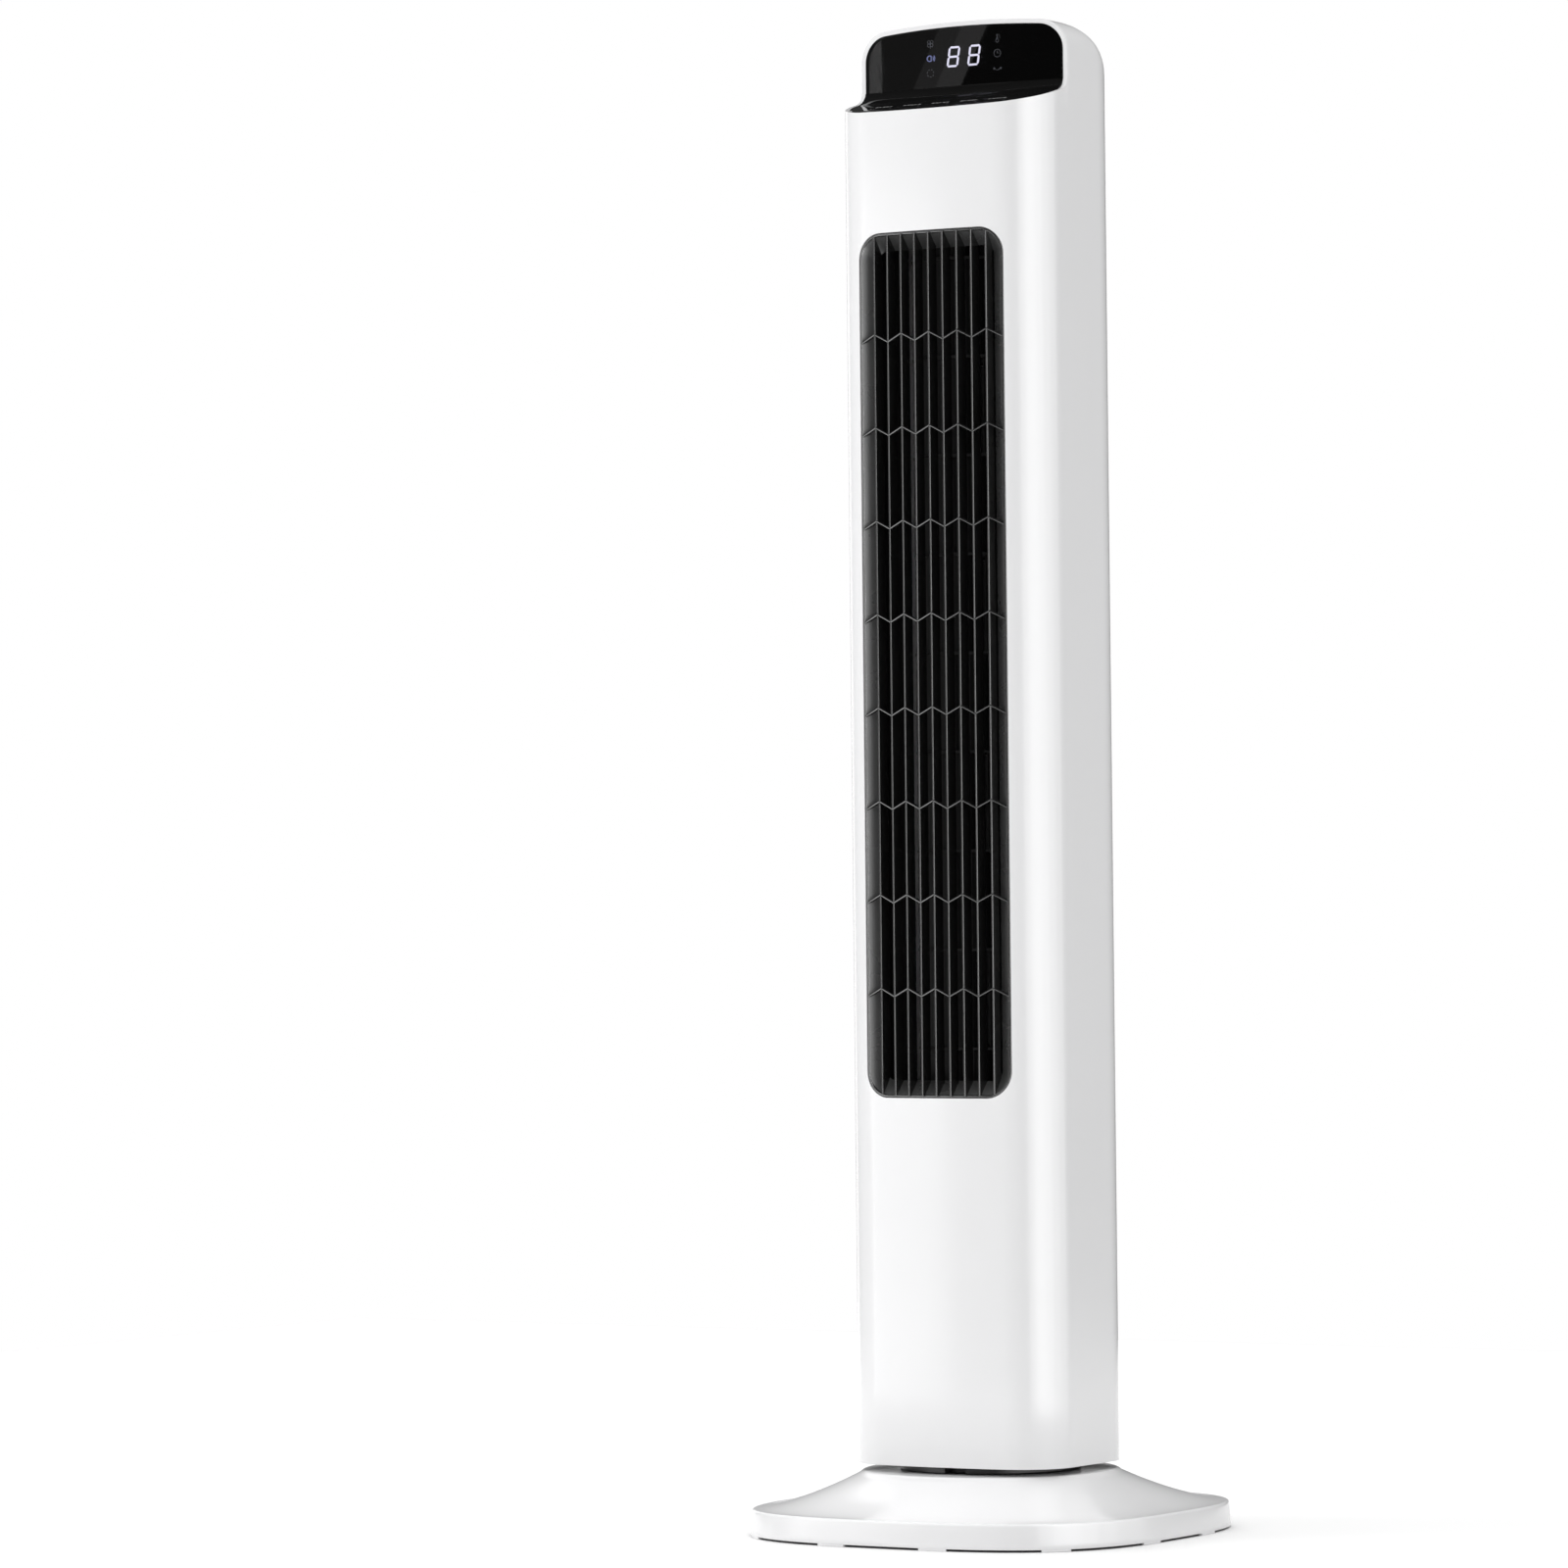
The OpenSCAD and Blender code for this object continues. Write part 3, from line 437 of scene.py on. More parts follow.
WINDOW = smoked_glass()
DIGIT = lit("digit_light", (0.84, 0.82, 1.0), 9.0)
LEGEND_BRIGHT = lit("legend_bright", (0.45, 0.50, 1.0), 3.6)
LEGEND_DIM = lit("legend_dim", (0.8, 0.82, 0.9), 0.45)
PRINT = plastic("printed_marks", grey(0.30), grey(0.38), (0.4, 0.5))

SLOT_MATERIAL = {
    "white_gloss": WHITE, "black_gloss": BLACK_GLOSS, "smoked_window": WINDOW,
    "black_matte": BLACK_SATIN, "dark_plastic": DARK_PLASTIC, "natural_plastic": NATURAL,
    "rubber_black": RUBBER, "steel": STEEL, "dark_steel": DARK_STEEL,
    "ballast_iron": CAST_IRON, "ferrite": FERRITE, "bronze": BRONZE, "copper": COPPER,
    "board_green": BOARD, "component_dark": COMPONENT, "digit_white": DIGIT,
}
for part in frame["record"]["subparts"]:
    cad = frame["nodes"][part["node"]]
    cad.data.materials.clear()
    cad.data.materials.append(SLOT_MATERIAL[part["material_slot"]])
    shade(cad, 30)

# ------------ column shells

CORNER_STEP = 2.0


def corner_heights(opening):
    half, z0, z1, r = opening
    n = round(r / CORNER_STEP) + 1
    return steps(z0 - CORNER_STEP, z0 + r, n) + steps(z1 - r, z1 + CORNER_STEP, n)


def shared_heights(plain, openings):
    """Heights shared by every upright column of quads, so that the openings' edges lie on them."""
    every = plain + [z for opening in openings for z in corner_heights(opening)]
    return sorted({round(z, 4) for z in every})


PLAIN_HEIGHTS = [BOTTOM_Z, 100, 160, 220] + list(range(360, 781, 60)) + [820, 900]
FRONT_HEIGHTS = shared_heights(PLAIN_HEIGHTS + [260, 930, 952], [OUTLET])
REAR_HEIGHTS = shared_heights(PLAIN_HEIGHTS + [270, 880, 954], [INTAKE, CUP])
SIDE_LIP_Y = window_y(COLUMN_HALF)
SIDE_LIP_Z = deck_height(SIDE_LIP_Y - SWEEP_R) + SWEEP_R * 0.95


def lip_height(y):
    """Top edge of the front shell: the deck's slope, then a hollow curve up to the window."""
    reach = SIDE_LIP_Y - y
    if reach >= SWEEP_R:
        return deck_height(y)
    base = deck_height(SIDE_LIP_Y - SWEEP_R)
    t = 1 - reach / SWEEP_R
    return base + (SIDE_LIP_Z - base) * (0.25 * t * (1 - t) + 1 - leg(1, t))


def opening_patch(shape, opening, surface):
    """Fills the four corners of a rounded opening with quads, up to its rounded edge."""
    half, z0, z1, r = opening
    n = round(r / CORNER_STEP) + 1
    for side in (-1, 1):
        for end, cz, edge in ((-1, z0 + r, z0), (1, z1 - r, z1)):
            cx = side * (half - r)
            arc = [(cx + side * r * sin(a), cz + end * r * cos(a)) for a in turns(0, 90, 2 * n)]
            outer_x = side * (half + CORNER_STEP)
            outer_z = edge + end * CORNER_STEP
            border = [(cx + side * CORNER_STEP * k, outer_z) for k in range(n + 1)]
            border += [(outer_x, outer_z - end * CORNER_STEP * k) for k in range(1, n + 1)]
            for k in range(2 * n):
                quad = [arc[k], border[k], border[k + 1], arc[k + 1]]
                shape.face(*[(x, surface(x), z) for x, z in quad])


def inside(x, z, openings):
    """True where an opening or the patch round one of its corners takes a quad's place."""
    for half, z0, z1, r in openings:
        if abs(x) < half and z0 < z < z1:
            return True
        beside = half - r < abs(x) < half + CORNER_STEP
        if beside and (z0 - CORNER_STEP < z < z0 + r or z1 - r < z < z1 + CORNER_STEP):
            return True
    return False


def panel(shape, across, surface, openings, heights, top):
    """Upright quads over the x positions in across, left out where an opening is."""
    for xa, xb in zip(across, across[1:]):
        zs = [(z, z) for z in heights] + [(top(xa), top(xb))]
        for (za, zb), (zc, zd) in zip(zs, zs[1:]):
            if inside((xa + xb) / 2, (za + zc) / 2, openings):
                continue
            shape.face((xa, surface(xa), za), (xb, surface(xb), zb),
                       (xb, surface(xb), zd), (xa, surface(xa), zc))


def mirrored(values):
    """Positive values from large to small, then the same with the sign turned."""
    return [-v for v in values] + [v for v in reversed(values) if v > 0]


# Front panel and front corners, forward of the window
front = Shape()
FRONT_ACROSS = mirrored(list(range(58, 38, -2)) + list(range(38, 0, -4)))
panel(front, FRONT_ACROSS, front_y, [OUTLET], FRONT_HEIGHTS, lambda x: deck_height(front_y(x)))
opening_patch(front, OUTLET, front_y)
corner_start = degrees(acos((FRONT_ACROSS[-1] - CORNER_X) / CORNER_R))
corner_plan = [(CORNER_X + CORNER_R * cos(a), FRONT_CORNER_Y - CORNER_R * sin(a))
               for a in turns(corner_start, 0, 24)]
side_plan = [(COLUMN_HALF, y) for y in steps(FRONT_CORNER_Y, SIDE_LIP_Y - SWEEP_R, 2)[1:]]
side_plan += [(COLUMN_HALF, SIDE_LIP_Y - SWEEP_R * cos(a)) for a in turns(0, 90, 8)[1:]]
for side in (-1, 1):
    columns = [[(side * x, y, z) for z in FRONT_HEIGHTS + [lip_height(y)]]
               for x, y in corner_plan + side_plan]
    front.grid(columns)

# The wrap: sides behind the window, rear corners, back and roof
REAR_ACROSS = [46, 44, 42, 38, 34, 30, 26, 22, 18, 14, 10, 6, 2]
REAR_ACROSS += [-x for x in reversed(REAR_ACROSS)]
ROOF_HALF = COLUMN_HALF - ROOF_SIDE_R
ROOF_BACK_Y = REAR_Y - ROOF_REAR_R
ROOF_CORNER = 20.0
SIDE_COUNT = 10
wrap_side = [((COLUMN_HALF, y), (ROOF_HALF, q)) for y, q in zip(
    steps(SIDE_LIP_Y, REAR_CORNER_Y, SIDE_COUNT),
    steps(window_y(ROOF_HALF), ROOF_BACK_Y - ROOF_CORNER, SIDE_COUNT))]
rear_corner_end = degrees(acos((INTAKE_HALF + CORNER_STEP - CORNER_X) / CORNER_R))
corner_angles = steps(0, rear_corner_end, 24)[1:]
corner_angles += [degrees(acos((x - CORNER_X) / CORNER_R)) for x in (56, 54, 52, 50, 48)]
for a in corner_angles:
    q = radians(90 * a / corner_angles[-1])
    wrap_side.append((
        (CORNER_X + CORNER_R * cos(radians(a)),
         REAR_CORNER_Y + CORNER_R * sin(radians(a))),
        (ROOF_HALF - ROOF_CORNER + ROOF_CORNER * cos(q),
         ROOF_BACK_Y - ROOF_CORNER + ROOF_CORNER * sin(q))))


def roof_curve(p, q, rise):
    """Points from the wall at p up and over to the roof above q, after the wall's plain part."""
    reach = hypot(q[0] - p[0], q[1] - p[1])
    ux, uy = (q[0] - p[0]) / reach, (q[1] - p[1]) / reach
    slope = -q[0] / leg(ROOF_ARCH_R, q[0]) * ux
    end = atan2(rise, reach * slope) if slope > 1e-6 else pi / 2
    inward = reach * (1 - cos(end))
    start_z = roof_z(p[0] + ux * inward) - rise * sin(end)
    rows = []
    for k in range(15):
        phi = end * k / 14
        d = reach * (1 - cos(phi))
        rows.append((p[0] + ux * d, p[1] + uy * d, start_z + rise * sin(phi)))
    return rows


WRAP_START_Z = roof_curve((COLUMN_HALF, 0), (ROOF_HALF, 0), ROOF_SIDE_R)[0][2]


def wrap_column(p, q, rise, heights):
    arc = roof_curve(p, q, rise)
    share = (SIDE_LIP_Z - heights[-1]) / (WRAP_START_Z - heights[-1])
    middle = heights[-1] + (arc[0][2] - heights[-1]) * share
    return [(p[0], p[1], z) for z in heights + [middle]] + arc


def make_wrap(heights, openings):
    """Sides, back and roof, with openings in the back."""
    shape = Shape()
    right = []
    for i, (p, q) in enumerate(wrap_side):
        blend = smooth((i - 4) / (len(wrap_side) - 5))
        right.append(wrap_column(p, q, ROOF_SIDE_R + (ROOF_REAR_R - ROOF_SIDE_R) * blend, heights))
    edge = ROOF_HALF - ROOF_CORNER
    back = [wrap_column((x, rear_y(x)), (x * edge / 48, ROOF_BACK_Y), ROOF_REAR_R, heights)
            for x in REAR_ACROSS]
    left = [[(-x, y, z) for x, y, z in column] for column in right]
    columns = right + back + left[::-1]
    for a, b in zip(columns, columns[1:]):
        for k in range(len(a) - 1):
            x, y, z = ((a[k][i] + b[k + 1][i]) / 2 for i in range(3))
            if y < REAR_CORNER_Y or not inside(x, z, openings):
                shape.face(a[k], b[k], b[k + 1], a[k + 1])
    for opening in openings:
        opening_patch(shape, opening, rear_y)
    shape.grid(roof_rows([c[-1] for c in right], [c[-1] for c in [right[-1]] + back + [left[-1]]]))
    return shape


def roof_rows(side, back):
    """Rows across the roof, from the window's edge to the curve down at the back."""
    rows = []
    for i, (ex, ey, _) in enumerate(side):
        row = []
        for rx, ry, _ in back:
            x = rx * ex / back[0][0]
            forward = max(0.0, 1 - i / SIDE_COUNT)
            backward = max(0.0, (i - SIDE_COUNT) / (len(side) - 1 - SIDE_COUNT))
            y = ey + (window_y(x) - window_y(ex)) * forward + (ry - back[0][1]) * backward
            row.append((x, y, roof_z(x)))
        rows.append(row)
    return rows


skin = make_wrap(FRONT_HEIGHTS, [])
skin.merge(front)
front_shell = skin.build("front_shell", WHITE, "column", ["front_housing"], "white_gloss", weld=0.02)
slice_shape(front_shell, SEAM_FRONT_Y, True)
thicken(front_shell, WALL)
round_edges(front_shell, 0.7, 3)
settle(front_shell)
keep_below(front_shell, TOP_Z)

rear_shell = make_wrap(REAR_HEIGHTS, [INTAKE, CUP]).build(
    "rear_shell", WHITE, "column", ["rear_housing"], "white_gloss", weld=0.02)
slice_shape(rear_shell, SEAM_REAR_Y, False)
thicken(rear_shell, WALL)
SCREW_X = 62
SCREW_HOLE_R = 3.1
holes = Shape()
for z in (72, 170, 268, 905, 972):
    for side in (-1, 1):
        ring = circle(SCREW_HOLE_R, 24, side * SCREW_X, z)
        holes.solid([[(x, y, hz) for x, hz in ring] for y in (SEAM_REAR_Y + 2, REAR_Y + 10)])
cut(rear_shell, holes, "screw_holes")
round_edges(rear_shell, 0.5, 2)
settle(rear_shell)

# ------------ grilles

SLAT_PITCH = 10.8
SLAT_COUNT = 9
SLAT_T = 1.3
SLAT_DEPTH = 11.0
ZIGZAG_ROWS = 8
ZIGZAG_RISE = 5.5
GRILLE_SETBACK = 0.3
FRAME_BACK_Y = -55.0
FUNNEL_INSET = 11.5


def swept_ring(shape, loops):
    """Quads between loops of points, closing the last loop on the first."""
    shape.grid(loops + [loops[0]], closed=True)


def frame_loop(inset, outline, surface, depth=None, y=None, r_min=3.0):
    """One loop of a frame, at a depth below the column's surface or in the plane y."""
    half, z0, z1, r = outline
    points = rounded_loop(half - inset, z0 + inset, z1 - inset, max(r_min, r - inset))
    if y is not None:
        return [(x, y, z) for x, z in points]
    return [(x, surface(x) + depth, z) for x, z in points]


def slat(shape, x, z0, z1, thick, depth, surface):
    """An upright slat with a rounded front edge that tapers a little to its back."""
    y = surface(x) + GRILLE_SETBACK
    r = thick / 2
    outline = [(x + r * sin(a), y + r - r * cos(a)) for a in turns(-90, 90, 8)]
    outline += [(x + r * 0.75, y + depth), (x - r * 0.75, y + depth)]
    shape.prism(outline, z0, z1)


def end_height(x, half, z0, z1, r, inset):
    """Heights between which a slat at x runs, inside the rounded outline."""
    edge = half - inset
    corner = r - inset
    over = max(0.0, abs(x) - (edge - corner))
    drop_in = corner - leg(corner, over)
    return z0 + inset + drop_in, z1 - inset - drop_in


def zigzag_bar(shape, z, surface):
    half = (SLAT_COUNT + 1) / 2
    spine = [(-OUTLET_HALF + 1.5, -ZIGZAG_RISE / 2)]
    spine += [((k - half) * SLAT_PITCH, (k % 2 - 0.5) * ZIGZAG_RISE) for k in range(1, SLAT_COUNT + 1)]
    spine += [(OUTLET_HALF - 1.5, -ZIGZAG_RISE / 2)]
    rows = []
    r = SLAT_T / 2
    for x, dz in spine:
        y = surface(x) + GRILLE_SETBACK
        profile = [(y + r - r * cos(a), z + dz + r * 1.1 * sin(a)) for a in turns(-90, 90, 6)]
        profile += [(y + 3.6, z + dz + r * 0.9), (y + 3.6, z + dz - r * 0.9)]
        rows.append([(x, py, pz) for py, pz in profile])
    shape.solid(rows)


grille = Shape()
front_loops = [frame_loop(inset, OUTLET, front_y, depth) for inset, depth in (
    (0.25, 1.1), (0.4, 0.6), (0.8, 0.32), (1.3, 0.3), (1.7, 0.45), (2.0, 0.9), (2.3, 1.6))]
swept_ring(grille, [frame_loop(0.25, OUTLET, front_y, y=FRAME_BACK_Y)] + front_loops + [
    frame_loop(FUNNEL_INSET, OUTLET, front_y, y=FRAME_BACK_Y - 0.5, r_min=6.5),
    frame_loop(FUNNEL_INSET, OUTLET, front_y, y=FRAME_BACK_Y, r_min=6.5)])
frame_faces = len(grille.faces)
for k in range(1, SLAT_COUNT + 1):
    x = (k - (SLAT_COUNT + 1) / 2) * SLAT_PITCH
    z0, z1 = end_height(x, *OUTLET, 1.5)
    slat(grille, x, z0, z1, SLAT_T, SLAT_DEPTH, front_y)
ZIGZAG_PITCH = (OUTLET_Z1 - OUTLET_Z0) / (ZIGZAG_ROWS + 1.25)
for k in range(1, ZIGZAG_ROWS + 1):
    z = (OUTLET_Z0 + OUTLET_Z1) / 2 + (k - (ZIGZAG_ROWS + 1) / 2) * ZIGZAG_PITCH
    zigzag_bar(grille, z, front_y)
outlet_grille = grille.build("outlet_grille", GRILLE_BLACK, "column", ["front_grille"], "black_matte")
# The deep funnel faces behind the rim get the lighter black: painted light on the sloped walls, while
# the rim keeps the plain black
outlet_grille.data.materials.append(FUNNEL_PAINTED_LIGHT)
for face in outlet_grille.data.polygons[:frame_faces]:
    depths = [outlet_grille.data.vertices[v].co.y for v in face.vertices]
    if max(depths) - min(depths) > 4 * MM:
        face.material_index = 1

intake = Shape()
swept_ring(intake, [frame_loop(inset, INTAKE, rear_y, -depth) for inset, depth in (
    (0.25, 3.3), (0.25, 1.0), (0.8, 0.4), (3.2, 0.4), (3.9, 0.9), (4.2, 3.3))])
INTAKE_BARS = 13
INTAKE_ROWS = 14
for k in range(1, INTAKE_BARS + 1):
    x = (k - (INTAKE_BARS + 1) / 2) * 2 * INTAKE_HALF / (INTAKE_BARS + 1)
    z0, z1 = end_height(x, *INTAKE, 3.6)
    y = rear_y(x) - 0.9
    outline = [(x + sin(a), y - 1 + cos(a)) for a in turns(90, -90, 6)]
    outline += [(x - 0.8, y - 2.4), (x + 0.8, y - 2.4)]
    intake.prism(outline, z0, z1)
for k in range(1, INTAKE_ROWS + 1):
    z = INTAKE_Z0 + k * (INTAKE_Z1 - INTAKE_Z0) / (INTAKE_ROWS + 1)
    rows = []
    for x in steps(-INTAKE_HALF + 3.6, INTAKE_HALF - 3.6, 28):
        y = rear_y(x) - 0.5
        profile = [(y - 1.1 + 1.1 * cos(a), z + 1.1 * sin(a)) for a in turns(-90, 90, 6)]
        profile += [(y - 2.9, z + 0.9), (y - 2.9, z - 0.9)]
        rows.append([(x, py, pz) for py, pz in profile])
    intake.solid(rows)
intake.build("intake_grille", BLACK_SATIN, "column", ["rear_grille"], "black_matte")

# Carry recess: a cup with a rounded mouth and floor
cup = Shape()
CUP_DEPTH = 26.0


def cup_loop(inset, y, follow):
    """A loop of the cup, y in front of the shell's curve or of the shell's rearmost plane."""
    points = rounded_loop(CUP_HALF - inset, CUP_Z0 + inset, CUP_Z1 - inset, max(4.0, CUP_R - inset))
    return [(x, (rear_y(x) if follow else REAR_Y) - y, z) for x, z in points]


MOUTH = ((0.25, 1.2), (0.5, 0.6), (1.2, 0.4), (1.9, 0.8), (2.3, 1.8))
inner_loops = [cup_loop(inset, y, True) for inset, y in MOUTH]
inner_loops += [cup_loop(inset, y, False) for inset, y in (
    (3.0, 14), (3.6, CUP_DEPTH - 6), (5.0, CUP_DEPTH - 3.2), (8.0, CUP_DEPTH - 2.2))]
outer_loops = [cup_loop(inset, y, False) for inset, y in (
    (6.0, CUP_DEPTH), (2.0, CUP_DEPTH - 3), (0.25, CUP_DEPTH - 6))]
cup.grid(inner_loops, closed=True)
cup.face(*inner_loops[-1])
cup.grid(outer_loops + [inner_loops[0]], closed=True)
cup.face(*outer_loops[0])
cup.build("carry_recess", BLACK_SATIN, "column", ["handle_cup"], "black_matte", angle=40)

# ------------ controls

KEYS = ["power_key", "speed_key", "mode_key", "timer_key", "swing_key"]
DECK_INSET = WALL + 0.2
KEY_W = 17.0
KEY_D = 14.0
KEY_R = 2.7
KEY_Y = -48.0
KEY_GAP = 0.3
KEY_PITCH = 22.0
deck_turn = Matrix.Rotation(DECK_TILT, 3, "X")


def on_deck(x, y, z, key_x=0.0):
    """A point in the deck's own plane, with the keys' row at y = 0 and z along its normal."""
    p = deck_turn @ Vector((x, y, z))
    return (p.x + key_x, p.y + KEY_Y, p.z + deck_height(KEY_Y))


deck = Shape()
deck_half = COLUMN_HALF - DECK_INSET - 0.05
deck_xs = [deck_half * sin(a) for a in turns(-90, 90, 72)]


def deck_row(x):
    """From the front lip back over the deck and up the hollow curve to the window."""
    y0 = front_y(x, DECK_INSET)
    foot = window_y(x) - 0.1 - SWEEP_R
    y1 = max(y0 + 0.5, foot)
    lip = deck_height(y0)
    points = [(x, y0, lip - 3.0), (x, y0, lip - 0.5), (x, y0 + 0.15, lip - 0.15),
              (x, y0 + 0.5, deck_height(y0 + 0.5))]
    points += [(x, y, deck_height(y)) for y in steps(y0 + 0.5, y1, 8)[1:]]
    base = deck_height(y1)
    for t in turns(0, SWEEP_END, 10)[1:]:
        y = y1 + (window_y(x) - 0.35 - y1) * sin(t)
        rise = (CREASE_Z - base) * (1 - cos(t)) / (1 - cos(radians(SWEEP_END)))
        points.append((x, y, base + DECK_SLOPE * (y - y1) * cos(t) + rise))
    end = points[-1]
    points.append((x, end[1] + 2.5, end[2]))
    points.append((x, end[1] + 2.5, base - 4.0))
    return points


deck.solid([deck_row(x) for x in deck_xs])
key_deck = deck.build("key_deck_panel", BLACK_GLOSS, "column", ["key_deck"], "black_gloss", angle=25)
key_holes = Shape()


def key_outline(grow):
    return rounded_loop(KEY_W / 2 + grow, -KEY_D / 2 - grow, KEY_D / 2 + grow, KEY_R + grow, 6)


for k in range(-2, 3):
    ring = key_outline(KEY_GAP)
    key_holes.solid([[on_deck(x, y, z, k * KEY_PITCH) for x, y in ring] for z in (-8, 8)])
cut(key_deck, key_holes, "key_holes", 25)


def bar_mark(shape, x0, x1, y0, y1, key_x):
    """A printed bar on a key."""
    corners = [(x0, y0), (x1, y0), (x1, y1), (x0, y1)]
    shape.solid([[on_deck(x, y, z, key_x) for x, y in corners] for z in (MARK_LOW, MARK_HIGH)])


def ring_mark(shape, cx, cy, r, width, key_x):
    """A printed ring on a key."""
    corners = ((r - width, MARK_LOW), (r, MARK_LOW), (r, MARK_HIGH), (r - width, MARK_HIGH))
    shape.solid([[on_deck(cx + rr * cos(a), cy + rr * sin(a), z, key_x) for rr, z in corners]
                 for a in turns(0, 360, 20)])


MARK_LOW, MARK_HIGH = 0.28, 0.34
for index, key in enumerate(KEYS):
    key_x = (index - 2) * KEY_PITCH
    button = Shape()
    loops = []
    for grow, z in ((1.4, -4.4), (1.4, -3.4), (0.0, -3.3), (0.0, -0.2), (-0.08, 0.1),
                    (-0.25, 0.24), (-0.5, 0.29)):
        loops.append([on_deck(x, y, z, key_x) for x, y in key_outline(grow)])
    for shrink in (0.6, 0.25):
        loops.append([on_deck(x * shrink, y * shrink, 0.29, key_x) for x, y in key_outline(-0.5)])
    button.grid(loops, closed=True)
    button.face(*loops[0])
    button.face(*loops[-1])
    button.build(key + "_cap", BLACK_GLOSS, key, [key], "black_gloss", angle=35)
    marks = Shape()
    y = 0.2
    # Five small strokes and rings side by side, one pattern per key
    for spot in range(5):
        x = -5.6 + 2.8 * spot
        kind = (spot + index) % 3
        if kind == 0:
            ring_mark(marks, x, y, 1.05, 0.4, key_x)
        elif kind == 1:
            bar_mark(marks, x - 0.95, x - 0.5, y - 1.1, y + 1.1, key_x)
            bar_mark(marks, x - 0.5, x + 0.9, y - 0.2, y + 0.2, key_x)
        else:
            for dy in (-0.9, 0.0, 0.9):
                bar_mark(marks, x - 0.9, x + 0.9, y + dy - 0.18, y + dy + 0.18, key_x)
    marks.build(key + "_mark", PRINT, key, slot="digit_white")

# Window
window = Shape()
WINDOW_T = 3.0
window_top_r = ROOF_SIDE_R - DECK_INSET


def window_edge_z(x):
    """Upper edge of the window at x: the roof's arch and a rounded corner inside the shell."""
    centre_x = COLUMN_HALF - DECK_INSET - window_top_r
    arch_z = TOP_Z - ROOF_ARCH_R
    arch = arch_z + leg(ROOF_ARCH_R - DECK_INSET, x)
    if abs(x) <= centre_x:
        return arch
    centre_z = arch_z + leg(ROOF_ARCH_R - DECK_INSET - window_top_r, centre_x)
    return min(arch, centre_z + leg(window_top_r, abs(x) - centre_x))


window_xs = [(COLUMN_HALF - DECK_INSET) * sin(a) for a in turns(-90, 90, 96)]
WINDOW_BOTTOM = CREASE_Z - 6


def window_column(x, setback, trim):
    """One upright row of the pane's points, trimmed at its edge."""
    trimmed_x = x * (1 - trim / COLUMN_HALF)
    top = window_edge_z(trimmed_x) - trim
    return [(trimmed_x, window_y(x) + setback, z) for z in steps(WINDOW_BOTTOM, top, 12)]


faces_front = [window_column(x, 0.3, 0.3) for x in window_xs]
faces_edge = [window_column(x, 0.55, 0.0) for x in window_xs]
faces_back = [window_column(x, 0.3 + WINDOW_T, 0.0) for x in window_xs]


def rim_of(grid):
    """The border of a grid of columns, in order."""
    return [c[0] for c in grid] + grid[-1][1:] + [c[-1] for c in grid[-2::-1]] + grid[0][-2:0:-1]


window.grid(faces_front)
window.grid([rim_of(faces_front), rim_of(faces_edge), rim_of(faces_back)], closed=True)
window.grid(faces_back, flip=True)
window.build("display_window_pane", WINDOW, "column", ["display_window"], "smoked_window", angle=30)

digits_low, digits_high = node_box("display_digits")
# Black mask just behind the pane, with the board's lights in front of it
mask = Shape()
MASK_Y = digits_high.y - 0.05
MASK_GAP = 0.6
mask_columns = [[(x * 0.99, max(window_y(x) + 0.3 + WINDOW_T + MASK_GAP, MASK_Y), z)
                 for z in steps(WINDOW_BOTTOM, window_edge_z(x) - 1.0, 3)] for x in window_xs]
mask_back = [[(x, y + 1.0, z) for x, y, z in column] for column in mask_columns]
mask.grid(mask_columns)
mask.grid([rim_of(mask_columns), rim_of(mask_back)], closed=True)
mask.grid(mask_back, flip=True)
mask.build("display_mask", BLACK_GLOSS, "column", slot="black_matte")

DISPLAY_X = 1.2
DIGIT_Z = DECK_Z + 39.1
DIGIT_X = 8.0
DIGIT_W = 11.0
DIGIT_H = 14.0
LIGHT_Y = digits_low.y
LEGEND_T = 0.3
SLANT = tan(radians(9))


def plate(shape, outline, x, z, slant=0.0):
    """A thin flat plate with the given outline, facing forwards."""
    front_face = [(DISPLAY_X + x + px + slant * pz, LIGHT_Y, z + pz) for px, pz in outline]
    back_face = [(px, py + LEGEND_T, pz) for px, py, pz in front_face]
    shape.solid([front_face, back_face])


def segment(length, thick, cx, cz, upright):
    half = length / 2
    outline = [(-half, 0), (-half + thick / 2, thick / 2), (half - thick / 2, thick / 2),
               (half, 0), (half - thick / 2, -thick / 2), (-half + thick / 2, -thick / 2)]
    if upright:
        outline = [(-b, a) for a, b in outline]
    return [(a + cx, b + cz) for a, b in outline]


digits = Shape()
thick = 1.35
seg_w = DIGIT_W - 2.2 - thick
seg_h = (DIGIT_H - thick) / 2
for side in (-1, 1):
    for k in (-1, 0, 1):
        plate(digits, segment(seg_w - 0.3, thick, 0, k * seg_h, False), side * DIGIT_X, DIGIT_Z, SLANT)
    for sx in (-1, 1):
        for k in (-1, 1):
            plate(digits, segment(seg_h - 0.5, thick, sx * seg_w / 2, k * seg_h / 2, True),
                  side * DIGIT_X, DIGIT_Z, SLANT)
digits.build("display_digits_lit", DIGIT, "column", ["display_digits"], "digit_white")


def arc_band(shape, cx, cz, r, width, start, end, count=18):
    """A thin curved band facing forwards."""
    rows = []
    for a in turns(start, end, count):
        c, s = cos(a), sin(a)
        rows.append([(DISPLAY_X + cx + rr * c, LIGHT_Y + dy, cz + rr * s)
                     for rr, dy in ((r, 0), (r + width, 0), (r + width, LEGEND_T), (r, LEGEND_T))])
    shape.solid(rows)


